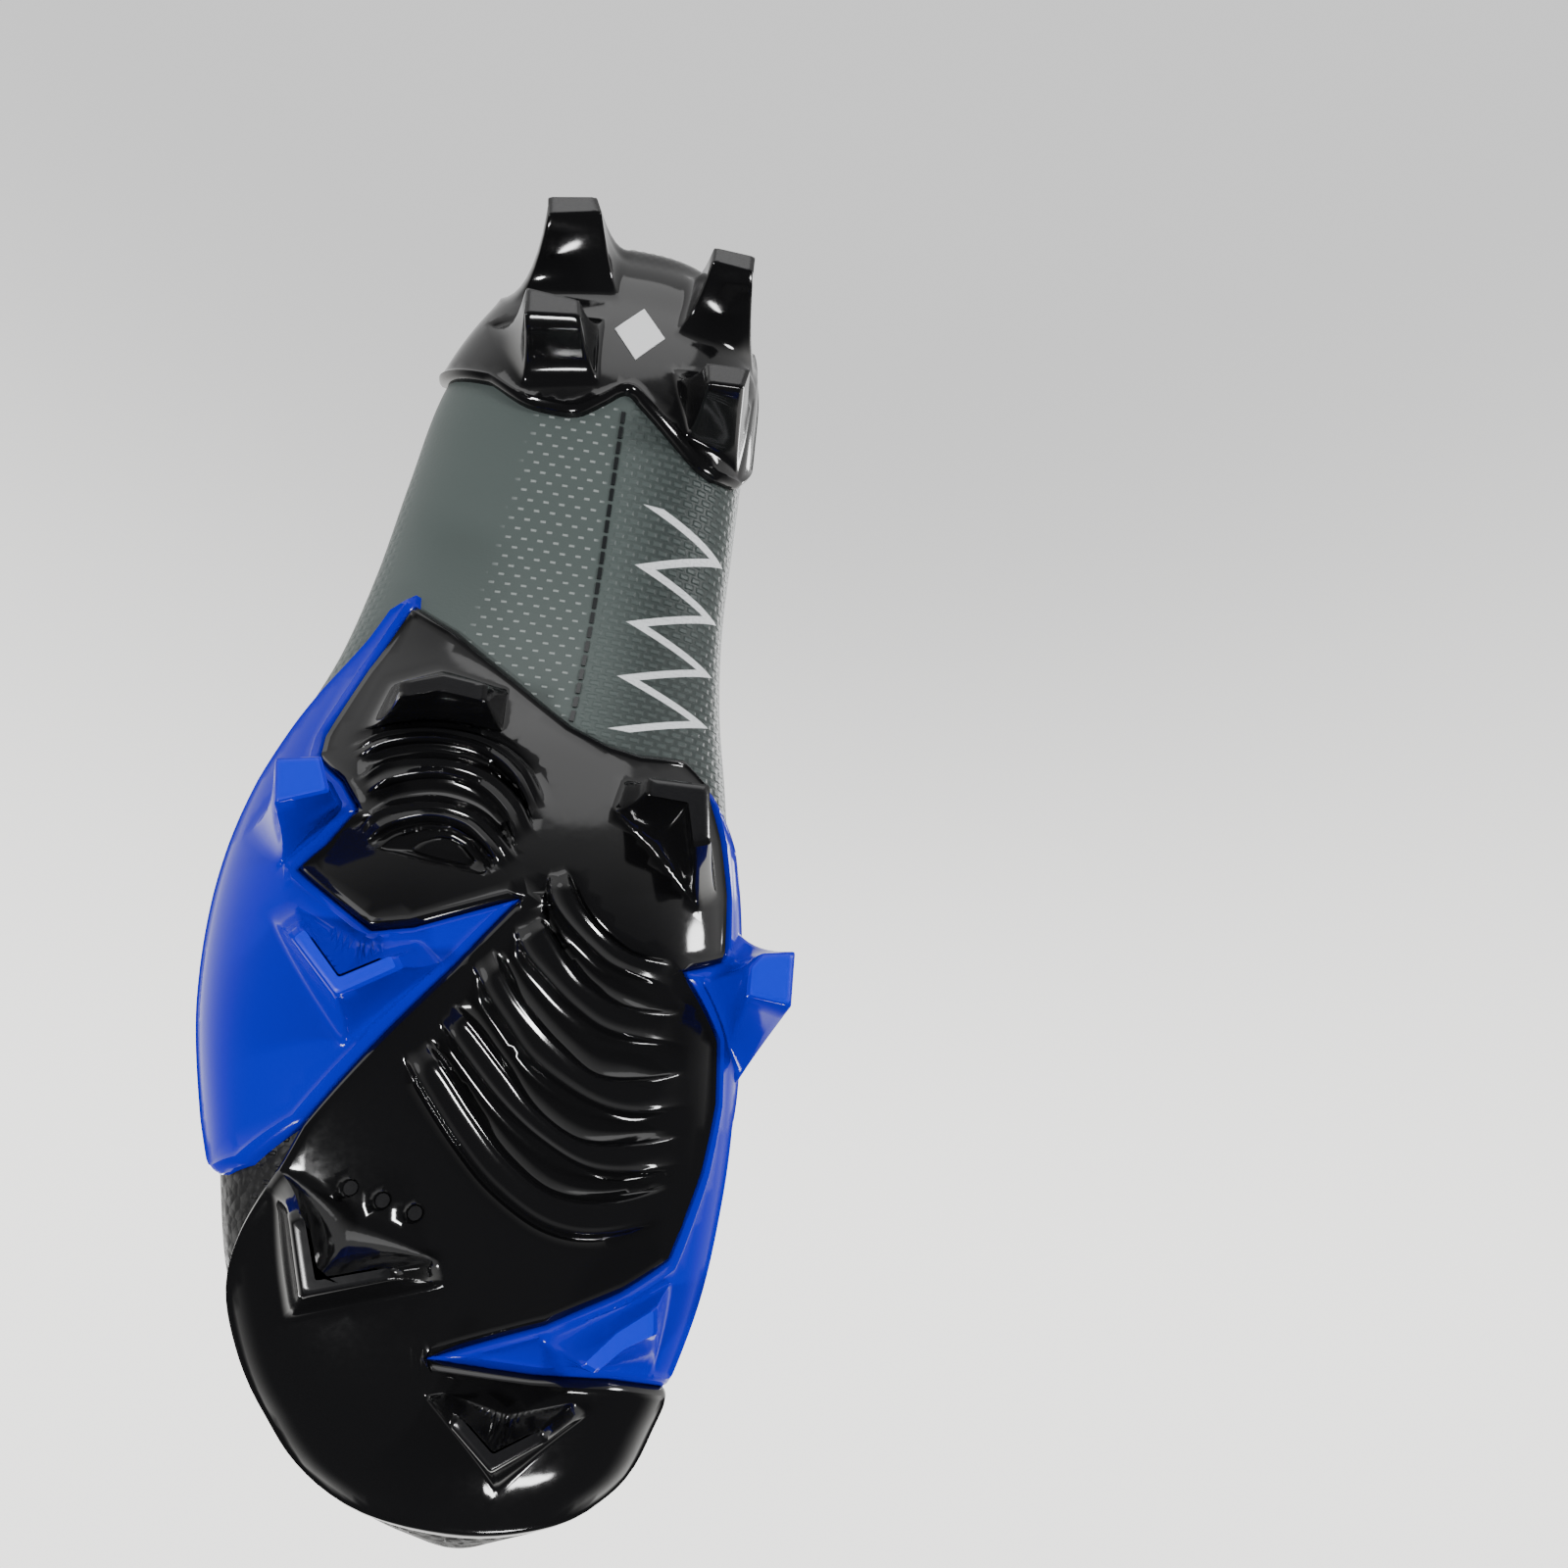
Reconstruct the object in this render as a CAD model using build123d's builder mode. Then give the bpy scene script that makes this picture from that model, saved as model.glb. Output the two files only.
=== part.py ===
"""Left soccer cleat: moulded stud plates, one-piece upper, inner stack and lacing.

Frame: Z up from the stud tips, toe towards -Y, lateral (outer) side towards +X.
A place on the shoe is given by its station (mm forward of the heel) and its side
(mm towards the lateral side of the line through the arch seam).
"""
import os
from math import copysign, cos, pi, sin

from build123d import *

os.makedirs("parts", exist_ok=True)

# ---- driving dimensions, mm ----
MID_STATION = 141.0       # station of the frame's origin, half way along the shoe
MID_SIDE = 6.1            # side of the frame's origin, half way across the shoe
SECTION_POINTS = 24       # points on each cross-section of the form
SHARED_KNOTS = [point / SECTION_POINTS for point in range(SECTION_POINTS + 1)]
END_CLEARANCE = 0.8       # share of an offset kept free next to a moved end section
END_SHARE = 0.4           # share of an offset that an end section grows by

PLATE = 2.2               # moulded plate, outside the upper
PLATE_GAP = 0.05          # glue line between plate and upper
UPPER = 1.4               # upper skin
LINER_GAP = 0.05          # between one inner layer and the next
PAD = 3.4                 # collar foam
COUNTER = 2.4             # heel counter stiffener
LINING = 1.0              # heel lining fabric
BOARD_THICK = 1.5         # strobel board
CUSHION = 3.0             # heel foam, forefoot foam and air unit
SOCKLINER_THICK = 3.0
TONGUE_DEPTH = 4.3        # from the outside of the upper to the tongue's face
TONGUE = 2.4
STAY = 0.9                # eyestay overlay
TOE_PUFF = 1.0
SKY = 130.0               # past the shoe in every direction

FLEX_STATION = 230.0      # where the toe pieces meet the forefoot pieces
FLEX_GAP = 0.4            # clearance between them
HEEL_PLATE_TOP = 33.0     # height that each moulding climbs up the side wall
CAGE_TOP = 28.5
RAIL_TOP = 28.0
TOE_PLATE_TOP = 25.0
STACK_TOP = 36.0          # the underfoot stack lies in the lower half of the form

EYELET_R = 2.3
EYELET_REACH = 3.4        # half the depth of a lace hole's cut
LACE_R = 1.15
EYELET_STATIONS = (114, 125, 136, 147, 158)
EYELET_SIDE = 18.5        # from the throat's middle line
THROAT_SIDE = 11.3        # side of the throat's middle line
THROAT_HALF_REAR = 15.0
THROAT_HALF_FRONT = 8.0
THROAT_REAR = 96.0
THROAT_FRONT = 168.0
STAY_WIDTH = 13.0
STAY_NARROWING = 4.0      # how much nearer the outer edge is at the front
STAY_REAR = 106.0
STAY_FRONT = 170.0

# Cross-sections of the outside of the upper. Columns: station, lateral half width,
# medial half width, underside height, height of the widest line, top height, and the
# squareness of the lower lateral, lower medial and upper corners (2 is an ellipse).
SECTIONS = (
    (0.8, 12.0, 10.0, 27.0, 42.0, 62.0, 2.2, 2.2, 2.2),
    (4.0, 21.0, 18.0, 20.0, 40.0, 78.0, 2.4, 2.4, 1.9),
    (12.0, 30.0, 25.0, 16.2, 37.0, 97.0, 2.7, 2.8, 1.7),
    (28.0, 38.0, 29.0, 15.0, 35.0, 106.0, 2.8, 3.2, 1.7),
    (50.0, 45.5, 30.0, 15.6, 36.0, 109.0, 2.8, 3.2, 1.7),
    (75.0, 49.5, 30.0, 20.5, 39.0, 110.0, 2.6, 2.8, 1.8),
    (98.0, 52.5, 30.0, 25.3, 42.0, 107.0, 2.5, 2.6, 1.9),
    (120.0, 55.0, 31.5, 25.0, 41.0, 98.0, 2.5, 2.5, 2.0),
    (145.0, 59.0, 35.0, 19.0, 37.0, 86.0, 2.5, 2.7, 2.1),
    (172.0, 60.0, 38.0, 14.8, 33.0, 74.0, 2.7, 3.3, 2.1),
    (200.0, 56.0, 40.0, 14.0, 31.0, 65.0, 2.9, 3.5, 2.1),
    (226.0, 47.5, 40.5, 14.5, 31.0, 58.0, 3.0, 3.2, 2.1),
    (246.0, 40.5, 38.0, 16.0, 31.5, 53.5, 2.9, 3.0, 2.1),
    (262.0, 31.0, 32.5, 18.5, 33.0, 50.0, 2.7, 2.8, 2.1),
    (273.0, 20.0, 26.5, 22.5, 34.5, 47.0, 2.5, 2.5, 2.1),
    (279.0, 10.0, 18.5, 27.0, 36.0, 44.5, 2.3, 2.3, 2.1),
    (281.6, 3.0, 10.0, 31.0, 37.0, 42.0, 2.2, 2.2, 2.2),
)

# Collar line in side view: (station, height).
COLLAR_LINE = ((-12, 90), (4, 86), (22, 74), (46, 64), (70, 68), (90, 82), (104, 100))

# Plan outlines as (station, side), drawn past the shoe's edge where the form trims them.
HEEL_OUTLINE = ((-8, 50), (45, 50), (54.5, 31), (59.5, 23), (60.5, 13), (52.5, 0), (55.5, -4),
                (62.5, -12.5), (67.6, -19), (67.3, -24), (60, -38), (-8, -38))
REAR_EDGE = ((111, 37.4), (116.7, 27.5), (128, 12.5), (137.6, 0), (141, -8), (142, -14),
             (140.7, -23), (145, -28))
FOREFOOT_SIDES = ((146, -60), (232, -60), (232, 35.3), (225.4, 32.4), (219, 30.4), (222, 40),
                  (222, 70), (111, 70))
CAGE_EDGE = ((111, 37.4), (118.6, 39.7), (129, 42.6), (140, 44.7), (147, 46), (152, 45.5),
             (162.5, 35.3), (175.5, 42.8), (181, 34.8), (186, 27), (184.5, 20), (177, 3),
             (202, 20), (219, 30.4), (226.3, 38.4), (228.3, 43))
CAGE_OUTER = ((229, 46), (228, 75), (104, 75), (108, 42))
RAIL_EDGE = ((145, -28), (158, -32.3), (170, -34.5), (183.5, -35.3), (187, -28), (190, -30.3),
             (198.5, -35.4), (210, -36.3), (222, -35), (236.5, -31), (241.5, -24), (246.8, -13),
             (252.6, 4.2))
RAIL_OUTER = ((254, -12), (254.3, -24), (256, -33), (258, -48), (214, -48), (203, -49),
              (190, -51), (178, -49), (156, -44))
TOE_OUTLINE = ((219, 30.4), (225.4, 32.4), (231, 34.8), (238, 36.8), (246.6, 36.4),
               (254.4, 32.8), (262, 27.5), (268, 30), (296, 30), (296, -40), (257, -48),
               (200, -48), (200, 19))

INLAY = ((28, -1), (36, -7), (44, -1), (36, 5))
INLAY_PROUD = 0.3
STITCHES = 21             # stitches of the seam along the arch
SEAM_START = 57.0
STITCH_PITCH = 3.8
STITCH_LENGTH = 2.8
STITCH_HALF = 0.45
STITCH_PROUD = 0.45
BINDING = 1.0             # how far the collar binding stands above the edge it wraps
BINDING_DEPTH = 6.0
BINDING_SKIN = 0.6
HEEL_BACK = -5.0          # past the heel
COLLAR_FRONT = 93.0
LINING_FLOOR = 40.0
COUNTER_FRONT = 66.0
COUNTER_FLOOR = 31.0
COUNTER_TOP = 58.0
TONGUE_FLOOR = 55.0
TONGUE_OUTLINE = ((86, -12), (86, 32), (120, 37), (176, 30), (176, -8), (120, -14))
BOARD = (8.0, 272.0)      # rear and front stations
BOARD_INSET = 6.0         # from the form's widest line to the edge of the board
FOAM = (12.0, 268.0)
FOAM_INSET = 8.0
FOAM_JOINT = 104.0        # station where the heel foam meets the forefoot foam
STACK_GAP = 0.3           # between neighbours in one layer of the stack
AIR_UNIT = (122.0, 214.0)
AIR_UNIT_INSET = 19.0
SOCKLINER = (13.0, 266.0)
SOCKLINER_INSET = 12.0
TOE_PUFF_REAR = 236.0
TOE_PUFF_FLOOR = 33.0
TOE_FRONT = 290.0         # past the toe
HEEL_SIDE = 1.0           # middle of the heel's back
TAB_WIDTH = 14.0
TAB_THICK = 1.2
TAB_LINE = ((-0.4, 60), (2.3, 76), (5.0, 86), (7.4, 93), (11.0, 95.5), (14.6, 92),
            (15.4, 84), (15.2, 74))
UNDER_STAY = -2.85        # height of the lace's middle from the outside of the upper
OVER_STAY = 2.7
STAY_FALL = 0.6           # how much lower the lace lies at the eyelet

# Studs: tip height, tip corners and root corners as (station, side).
ROOT_HEIGHT = 22.0        # stud roots start inside the form and are trimmed by it
HEEL_STUDS = (
    (0.0, ((9, 13), (14, 11), (18, 23), (12, 24)), ((4, 4), (27, 5), (31, 30), (8, 34))),
    (0.0, ((18.5, -26), (24, -26), (23, -16), (18, -16)), ((9, -28), (36, -30), (34, -8), (12, -8))),
    (0.0, ((42, 12), (47, 11), (49, 23), (41, 24)), ((33, 7), (53, 5), (58, 23), (53, 31), (36, 34))),
    (0.0, ((53, -28), (59, -27), (59.5, -19), (53.5, -18)),
     ((39, -30), (65, -28), (62, -12.5), (45, -8))),
)
BLACK_STUDS = (
    (0.0, ((154.5, -18), (154.5, -29.5), (166, -31), (167, -28), (158.5, -26), (158, -18)),
     ((149, -11), (147.5, -28.5), (172, -32.5), (175, -29), (164, -18), (156, -10))),
    (5.0, ((139.5, 31), (136.5, 23.5), (137.5, 15), (141.5, 14.5), (140.5, 23.5), (143, 30.5)),
     ((131, 38.5), (126, 29), (130.5, 13.5), (143, 12), (149, 27), (151.5, 40))),
)
CAGE_STUDS = (
    (0.0, ((158.5, 39.5), (165, 36.5), (168.5, 45), (160, 47)),
     ((150, 49), (162, 36.5), (177, 44), (169, 59))),
    (0.0, ((190.5, 37), (200, 27), (194, 18), (191, 20), (195.5, 27.5), (188, 35)),
     ((184, 46), (207, 26.5), (190, 13), (184.5, 16), (187.5, 28), (181, 42))),
)
RAIL_STUDS = (
    (0.0, ((184, -48), (194, -48), (193, -40), (186, -40)),
     ((174, -48), (206, -47), (203, -36.5), (185, -31.5))),
)
TOE_STUDS = (
    (5.0, ((234, 28), (244, 23), (240, 10), (238, 11), (240, 21), (232.5, 25)),
     ((229, 33.5), (250, 27), (242, 2), (238.5, 4), (233, 18), (226.5, 31.5))),
    (7.0, ((259.5, -2), (266, -9), (260, -16), (258, -14), (262, -9), (257.5, -4)),
     ((257, 4), (272, -9), (258.5, -22), (257, -19), (259, -9), (256.5, 1))),
)
FRONT_WEDGE = (7.0, ((242, -31), (246, -25), (251, -20), (252, -22.5), (248.5, -26.5), (246, -31.5)),
               ((238.5, -33), (242.5, -25.5), (249, -13), (253, -15), (253.3, -24), (254, -31)))


def at(station, side):
    """Plan place of a station and side in the part's frame."""
    return side - MID_SIDE, MID_STATION - station


def section_row(station):
    """The section values at any station, by straight lines between the named ones."""
    after = next(row for row in SECTIONS[1:] if row[0] >= station)
    before = SECTIONS[SECTIONS.index(after) - 1]
    share = (station - before[0]) / (after[0] - before[0])
    return [a + share * (b - a) for a, b in zip(before, after)]


def section_outline(row, offset):
    """Points round one cross-section, moved outwards by offset."""
    _, lateral, medial, sole, widest, top, low_lateral, low_medial, high = row
    middle = (lateral - medial) / 2
    half = (lateral + medial) / 2 + offset
    points = []
    for step in range(SECTION_POINTS):
        angle = 2 * pi * step / SECTION_POINTS
        across, up = cos(angle), sin(angle)
        low = low_lateral if across > 0 else low_medial
        power = 2 / (high if up > 0 else low)
        rise = top + offset - widest if up > 0 else widest - sole + offset
        x = middle + half * copysign(abs(across) ** power, across)
        z = widest + rise * copysign(abs(up) ** power, up)
        points.append((x - MID_SIDE, z))
    return points


def form(offset):
    """The closed solid inside the upper's outer surface moved outwards by offset."""
    heel_end = SECTIONS[0][0] - offset
    toe_end = SECTIONS[-1][0] + offset
    clear = END_CLEARANCE * abs(offset)
    places = [(heel_end, SECTIONS[0], END_SHARE * offset)]
    for row in SECTIONS[1:-1]:
        if heel_end + clear < row[0] < toe_end - clear:
            places.append((row[0], row, offset))
    places.append((toe_end, SECTIONS[-1], END_SHARE * offset))
    with BuildPart() as solid:
        for station, row, growth in places:
            plane = Plane((0, MID_STATION - station, 0), x_dir=(1, 0, 0), z_dir=(0, -1, 0))
            with BuildSketch(plane):
                with BuildLine():
                    add(Edge.make_spline(section_outline(row, growth), periodic=True,
                                         parameters=SHARED_KNOTS))
                make_face()
        loft()
    return solid.part


def top_height(station, side, offset):
    """Height of the form's upper surface at a plan place."""
    _, lateral, medial, _, widest, top, _, _, high = section_row(station)
    across = (side - (lateral - medial) / 2) / ((lateral + medial) / 2 + offset)
    return widest + (top + offset - widest) * (1 - abs(across) ** high) ** (1 / high)


def plan_polygon(places, height=0.0):
    """A straight-sided plan outline at a height."""
    with BuildSketch(Plane.XY.offset(height)) as outline:
        with BuildLine():
            Polyline(*[at(*place) for place in places], close=True)
        make_face()
    return outline.sketch


def stud(tip_height, tip, root):
    """One moulded stud from its flat tip up into the plate."""
    loft([plan_polygon(tip, tip_height), plan_polygon(root, ROOT_HEIGHT)])


def between(rear, front, offset):
    """Plan band of the form between two stations, its edges moved outwards by offset."""
    inner = [row[0] for row in SECTIONS if rear < row[0] < front]
    stations = [rear, *inner, front]
    lateral = [at(s, section_row(s)[1] + offset) for s in stations]
    medial = [at(s, -section_row(s)[2] - offset) for s in reversed(stations)]
    with BuildSketch(Plane.XY) as band:
        with BuildLine():
            outer = Spline(*lateral)
            inner_side = Spline(*medial)
            Line(outer @ 1, inner_side @ 0)
            Line(inner_side @ 1, outer @ 0)
        make_face()
    return band.sketch


def side_region(drop, ceiling):
    """Side-view region between the collar line, lowered by drop, and a flat height."""
    with BuildSketch(Plane.YZ) as region:
        with BuildLine():
            line = Spline(*[(MID_STATION - s, z - drop) for s, z in COLLAR_LINE])
            Polyline(line @ 1, ((line @ 1).X, ceiling), ((line @ 0).X, ceiling), line @ 0)
        make_face()
    return region.sketch


def cut_collar(drop):
    """Open the foot's entry above the collar line, lowered by drop."""
    extrude(side_region(drop, SKY), amount=SKY, both=True, mode=Mode.SUBTRACT)


def cut_throat(extra=0.0):
    """Open the lacing slot along the instep, widened by extra."""
    rear_half, front_half = THROAT_HALF_REAR + extra, THROAT_HALF_FRONT + extra
    with BuildSketch(Plane.XY.offset(STACK_TOP)) as slot:
        with BuildLine():
            edge = Line(at(THROAT_REAR, THROAT_SIDE - rear_half),
                        at(THROAT_FRONT, THROAT_SIDE - front_half))
            nose = ThreePointArc(edge @ 1, at(THROAT_FRONT + front_half, THROAT_SIDE),
                                 at(THROAT_FRONT, THROAT_SIDE + front_half))
            Polyline(nose @ 1, at(THROAT_REAR, THROAT_SIDE + rear_half), edge @ 0)
        make_face()
    extrude(slot.sketch, amount=SKY, mode=Mode.SUBTRACT)


def eyelet_plane(station, direction):
    """Plane of one lace hole, square to the instep's surface; direction is 1 laterally."""
    side = THROAT_SIDE + direction * EYELET_SIDE
    height = top_height(station, side, 0)
    rise = top_height(station, side - direction, 0) - height
    return Plane((*at(station, side), height), z_dir=(direction * rise, 0, 1))


def cut_eyelets():
    """Lace holes in two rows."""
    for station in EYELET_STATIONS:
        for direction in (-1, 1):
            with BuildSketch(eyelet_plane(station, direction)) as hole:
                Circle(EYELET_R)
            extrude(hole.sketch, amount=EYELET_REACH, both=True, mode=Mode.SUBTRACT)


def slab(rear, front, floor, ceiling, mode=Mode.INTERSECT):
    """Keep or cut everything between two stations and two heights."""
    with BuildSketch(Plane.YZ) as block:
        with BuildLine():
            Polyline((MID_STATION - rear, floor), (MID_STATION - front, floor),
                     (MID_STATION - front, ceiling), (MID_STATION - rear, ceiling),
                     close=True)
        make_face()
    extrude(block.sketch, amount=SKY, both=True, mode=mode)


def through_eyelet(station, direction, lift):
    """Place on a lace hole's axis, at a height above the upper's surface."""
    hole = eyelet_plane(station, direction)
    return tuple(hole.origin + hole.z_dir * lift)


def lace_row(station, direction):
    """The lace's places across one pair of eyelets, from one side to the other."""
    turn = EYELET_SIDE - EYELET_R
    over = []
    for offset_side in (-turn, -turn / 2, turn / 2, turn):
        side = THROAT_SIDE + direction * offset_side
        over.append((*at(station, side), top_height(station, side, OVER_STAY)))
    return [through_eyelet(station, -direction, UNDER_STAY),
            through_eyelet(station, -direction, OVER_STAY - STAY_FALL), *over,
            through_eyelet(station, direction, OVER_STAY - STAY_FALL),
            through_eyelet(station, direction, UNDER_STAY)]


REAR_CUT = Plane.XZ.offset(FLEX_STATION - FLEX_GAP / 2 - MID_STATION)
FRONT_CUT = Plane.XZ.offset(FLEX_STATION + FLEX_GAP / 2 - MID_STATION)

inner_face = -UPPER
liner_face = inner_face - LINER_GAP
pad_depth = liner_face - PAD
lining_face = pad_depth - LINER_GAP
lining_depth = lining_face - LINING
board_face = inner_face - FLEX_GAP
board_depth = board_face - BOARD_THICK
cushion_face = board_depth - LINER_GAP
cushion_depth = cushion_face - CUSHION
sockliner_face = cushion_depth - LINER_GAP
sockliner_depth = sockliner_face - SOCKLINER_THICK

outer_form = form(0)
inner_form = form(inner_face)
liner_form = form(liner_face)
plate_form = form(PLATE)
glue_form = form(PLATE_GAP)

# ---- moulded plates and studs ----
with BuildPart() as heel_plate:
    extrude(plan_polygon(HEEL_OUTLINE), amount=HEEL_PLATE_TOP)
    add(plate_form, mode=Mode.INTERSECT)
    for heel_stud in HEEL_STUDS:
        stud(*heel_stud)
    add(glue_form, mode=Mode.SUBTRACT)
heel_plate.part.label = "heel_plate"
export_step(heel_plate.part, "parts/heel_plate.step")

with BuildPart() as lateral_cage:
    extrude(plan_polygon(CAGE_EDGE + CAGE_OUTER), amount=CAGE_TOP)
    add(plate_form, mode=Mode.INTERSECT)
    for cage_stud in CAGE_STUDS:
        stud(*cage_stud)
    add(glue_form, mode=Mode.SUBTRACT)
lateral_cage.part.label = "lateral_cage"
export_step(lateral_cage.part, "parts/lateral_cage.step")

with BuildPart() as whole_rail:
    extrude(plan_polygon(RAIL_EDGE + RAIL_OUTER), amount=RAIL_TOP)
    add(plate_form, mode=Mode.INTERSECT)
    for rail_stud in (*RAIL_STUDS, FRONT_WEDGE):
        stud(*rail_stud)
    add(glue_form, mode=Mode.SUBTRACT)

with BuildPart() as medial_rail:
    add(whole_rail.part)
    split(bisect_by=REAR_CUT, keep=Keep.BOTTOM)
medial_rail.part.label = "medial_rail"
export_step(medial_rail.part, "parts/medial_rail.step")

with BuildPart() as toe_wedge:
    add(whole_rail.part)
    split(bisect_by=FRONT_CUT, keep=Keep.TOP)
toe_wedge.part.label = "toe_wedge"
export_step(toe_wedge.part, "parts/toe_wedge.step")

with BuildPart() as forefoot_plate:
    extrude(plan_polygon(REAR_EDGE + FOREFOOT_SIDES), amount=STACK_TOP)
    add(plate_form, mode=Mode.INTERSECT)
    for black_stud in BLACK_STUDS:
        stud(*black_stud)
    extrude(plan_polygon(CAGE_EDGE + CAGE_OUTER), amount=STACK_TOP, mode=Mode.SUBTRACT)
    extrude(plan_polygon(RAIL_EDGE + RAIL_OUTER), amount=STACK_TOP, mode=Mode.SUBTRACT)
    add(lateral_cage.part, mode=Mode.SUBTRACT)
    add(medial_rail.part, mode=Mode.SUBTRACT)
    add(glue_form, mode=Mode.SUBTRACT)
    split(bisect_by=REAR_CUT, keep=Keep.BOTTOM)
forefoot_plate.part.label = "forefoot_plate"
export_step(forefoot_plate.part, "parts/forefoot_plate.step")

with BuildPart() as toe_plate:
    extrude(plan_polygon(TOE_OUTLINE), amount=TOE_PLATE_TOP)
    add(plate_form, mode=Mode.INTERSECT)
    for toe_stud in TOE_STUDS:
        stud(*toe_stud)
    extrude(plan_polygon(RAIL_EDGE + RAIL_OUTER), amount=STACK_TOP, mode=Mode.SUBTRACT)
    add(toe_wedge.part, mode=Mode.SUBTRACT)
    add(glue_form, mode=Mode.SUBTRACT)
    split(bisect_by=FRONT_CUT, keep=Keep.TOP)
toe_plate.part.label = "toe_plate"
export_step(toe_plate.part, "parts/toe_plate.step")

with BuildPart() as heel_inlay:
    extrude(plan_polygon(INLAY), amount=STACK_TOP)
    add(form(PLATE + INLAY_PROUD), mode=Mode.INTERSECT)
    add(plate_form, mode=Mode.SUBTRACT)
heel_inlay.part.label = "heel_inlay"
export_step(heel_inlay.part, "parts/heel_inlay.step")

# ---- upper ----
with BuildPart() as whole_upper:
    add(outer_form)
    add(inner_form, mode=Mode.SUBTRACT)
    cut_collar(BINDING)
    cut_throat()

with BuildPart() as upper_shell:
    add(whole_upper.part)
    cut_eyelets()
    split(bisect_by=REAR_CUT, keep=Keep.BOTTOM)
upper_shell.part.label = "upper_shell"
export_step(upper_shell.part, "parts/upper_shell.step")

with BuildPart() as toe_box:
    add(whole_upper.part)
    split(bisect_by=FRONT_CUT, keep=Keep.TOP)
toe_box.part.label = "toe_box"
export_step(toe_box.part, "parts/toe_box.step")

with BuildPart() as arch_stitches:
    for stitch in range(STITCHES):
        start = SEAM_START + stitch * STITCH_PITCH
        ends = ((start, -STITCH_HALF), (start + STITCH_LENGTH, -STITCH_HALF),
                (start + STITCH_LENGTH, STITCH_HALF), (start, STITCH_HALF))
        extrude(plan_polygon(ends), amount=STACK_TOP)
    add(form(STITCH_PROUD), mode=Mode.INTERSECT)
    add(glue_form, mode=Mode.SUBTRACT)
arch_stitches.part.label = "arch_stitches"
export_step(arch_stitches.part, "parts/arch_stitches.step")

stay_form = form(PLATE_GAP + STAY)
for stay_name, stay_direction in (("lateral_eyestay", 1), ("medial_eyestay", -1)):
    stay_reach = THROAT_HALF_REAR + STAY_WIDTH
    stay_corners = ((STAY_REAR, THROAT_SIDE),
                    (STAY_REAR, THROAT_SIDE + stay_direction * stay_reach),
                    (STAY_FRONT, THROAT_SIDE + stay_direction * (stay_reach - STAY_NARROWING)),
                    (STAY_FRONT, THROAT_SIDE))
    with BuildPart() as eyestay:
        extrude(plan_polygon(stay_corners, STACK_TOP), amount=SKY)
        add(stay_form, mode=Mode.INTERSECT)
        add(glue_form, mode=Mode.SUBTRACT)
        cut_throat()
        cut_eyelets()
    eyestay.part.label = stay_name
    export_step(eyestay.part, f"parts/{stay_name}.step")

with BuildPart() as wrapped_edge:
    add(glue_form)
    cut_collar(BINDING)

with BuildPart() as collar_binding:
    add(form(BINDING_SKIN))
    extrude(side_region(BINDING_DEPTH, SKY), amount=SKY, both=True, mode=Mode.INTERSECT)
    cut_collar(0)
    add(form(lining_depth - BINDING_SKIN), mode=Mode.SUBTRACT)
    add(wrapped_edge.part, mode=Mode.SUBTRACT)
    cut_throat(BINDING)
collar_binding.part.label = "collar_binding"
export_step(collar_binding.part, "parts/collar_binding.step")

# ---- collar, tongue and heel insides ----
with BuildPart() as collar_padding:
    add(liner_form)
    add(form(pad_depth), mode=Mode.SUBTRACT)
    slab(HEEL_BACK, COLLAR_FRONT, COUNTER_TOP + LINER_GAP, SKY)
    cut_collar(BINDING)
    cut_throat()
collar_padding.part.label = "collar_padding"
export_step(collar_padding.part, "parts/collar_padding.step")

with BuildPart() as heel_counter:
    add(liner_form)
    add(form(liner_face - COUNTER), mode=Mode.SUBTRACT)
    slab(HEEL_BACK, COUNTER_FRONT, COUNTER_FLOOR, COUNTER_TOP)
heel_counter.part.label = "heel_counter"
export_step(heel_counter.part, "parts/heel_counter.step")

with BuildPart() as heel_lining:
    add(form(lining_face))
    add(form(lining_depth), mode=Mode.SUBTRACT)
    slab(HEEL_BACK, COLLAR_FRONT, LINING_FLOOR, SKY)
    cut_collar(BINDING)
    cut_throat()
heel_lining.part.label = "heel_lining"
export_step(heel_lining.part, "parts/heel_lining.step")

with BuildPart() as tongue:
    extrude(plan_polygon(TONGUE_OUTLINE, TONGUE_FLOOR), amount=SKY)
    add(form(-TONGUE_DEPTH), mode=Mode.INTERSECT)
    add(form(-TONGUE_DEPTH - TONGUE), mode=Mode.SUBTRACT)
    add(collar_binding.part, mode=Mode.SUBTRACT)
    add(heel_lining.part, mode=Mode.SUBTRACT)
tongue.part.label = "tongue"
export_step(tongue.part, "parts/tongue.step")

# ---- underfoot stack ----
with BuildPart() as strobel_board:
    extrude(between(*BOARD, -BOARD_INSET), amount=STACK_TOP)
    add(form(board_face), mode=Mode.INTERSECT)
    add(form(board_depth), mode=Mode.SUBTRACT)
strobel_board.part.label = "strobel_board"
export_step(strobel_board.part, "parts/strobel_board.step")

cushion_form = form(cushion_face)
cushion_core = form(cushion_depth)
with BuildPart() as heel_foam:
    extrude(between(FOAM[0], FOAM_JOINT, -FOAM_INSET), amount=STACK_TOP)
    add(cushion_form, mode=Mode.INTERSECT)
    add(cushion_core, mode=Mode.SUBTRACT)
heel_foam.part.label = "heel_foam"
export_step(heel_foam.part, "parts/heel_foam.step")

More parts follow.
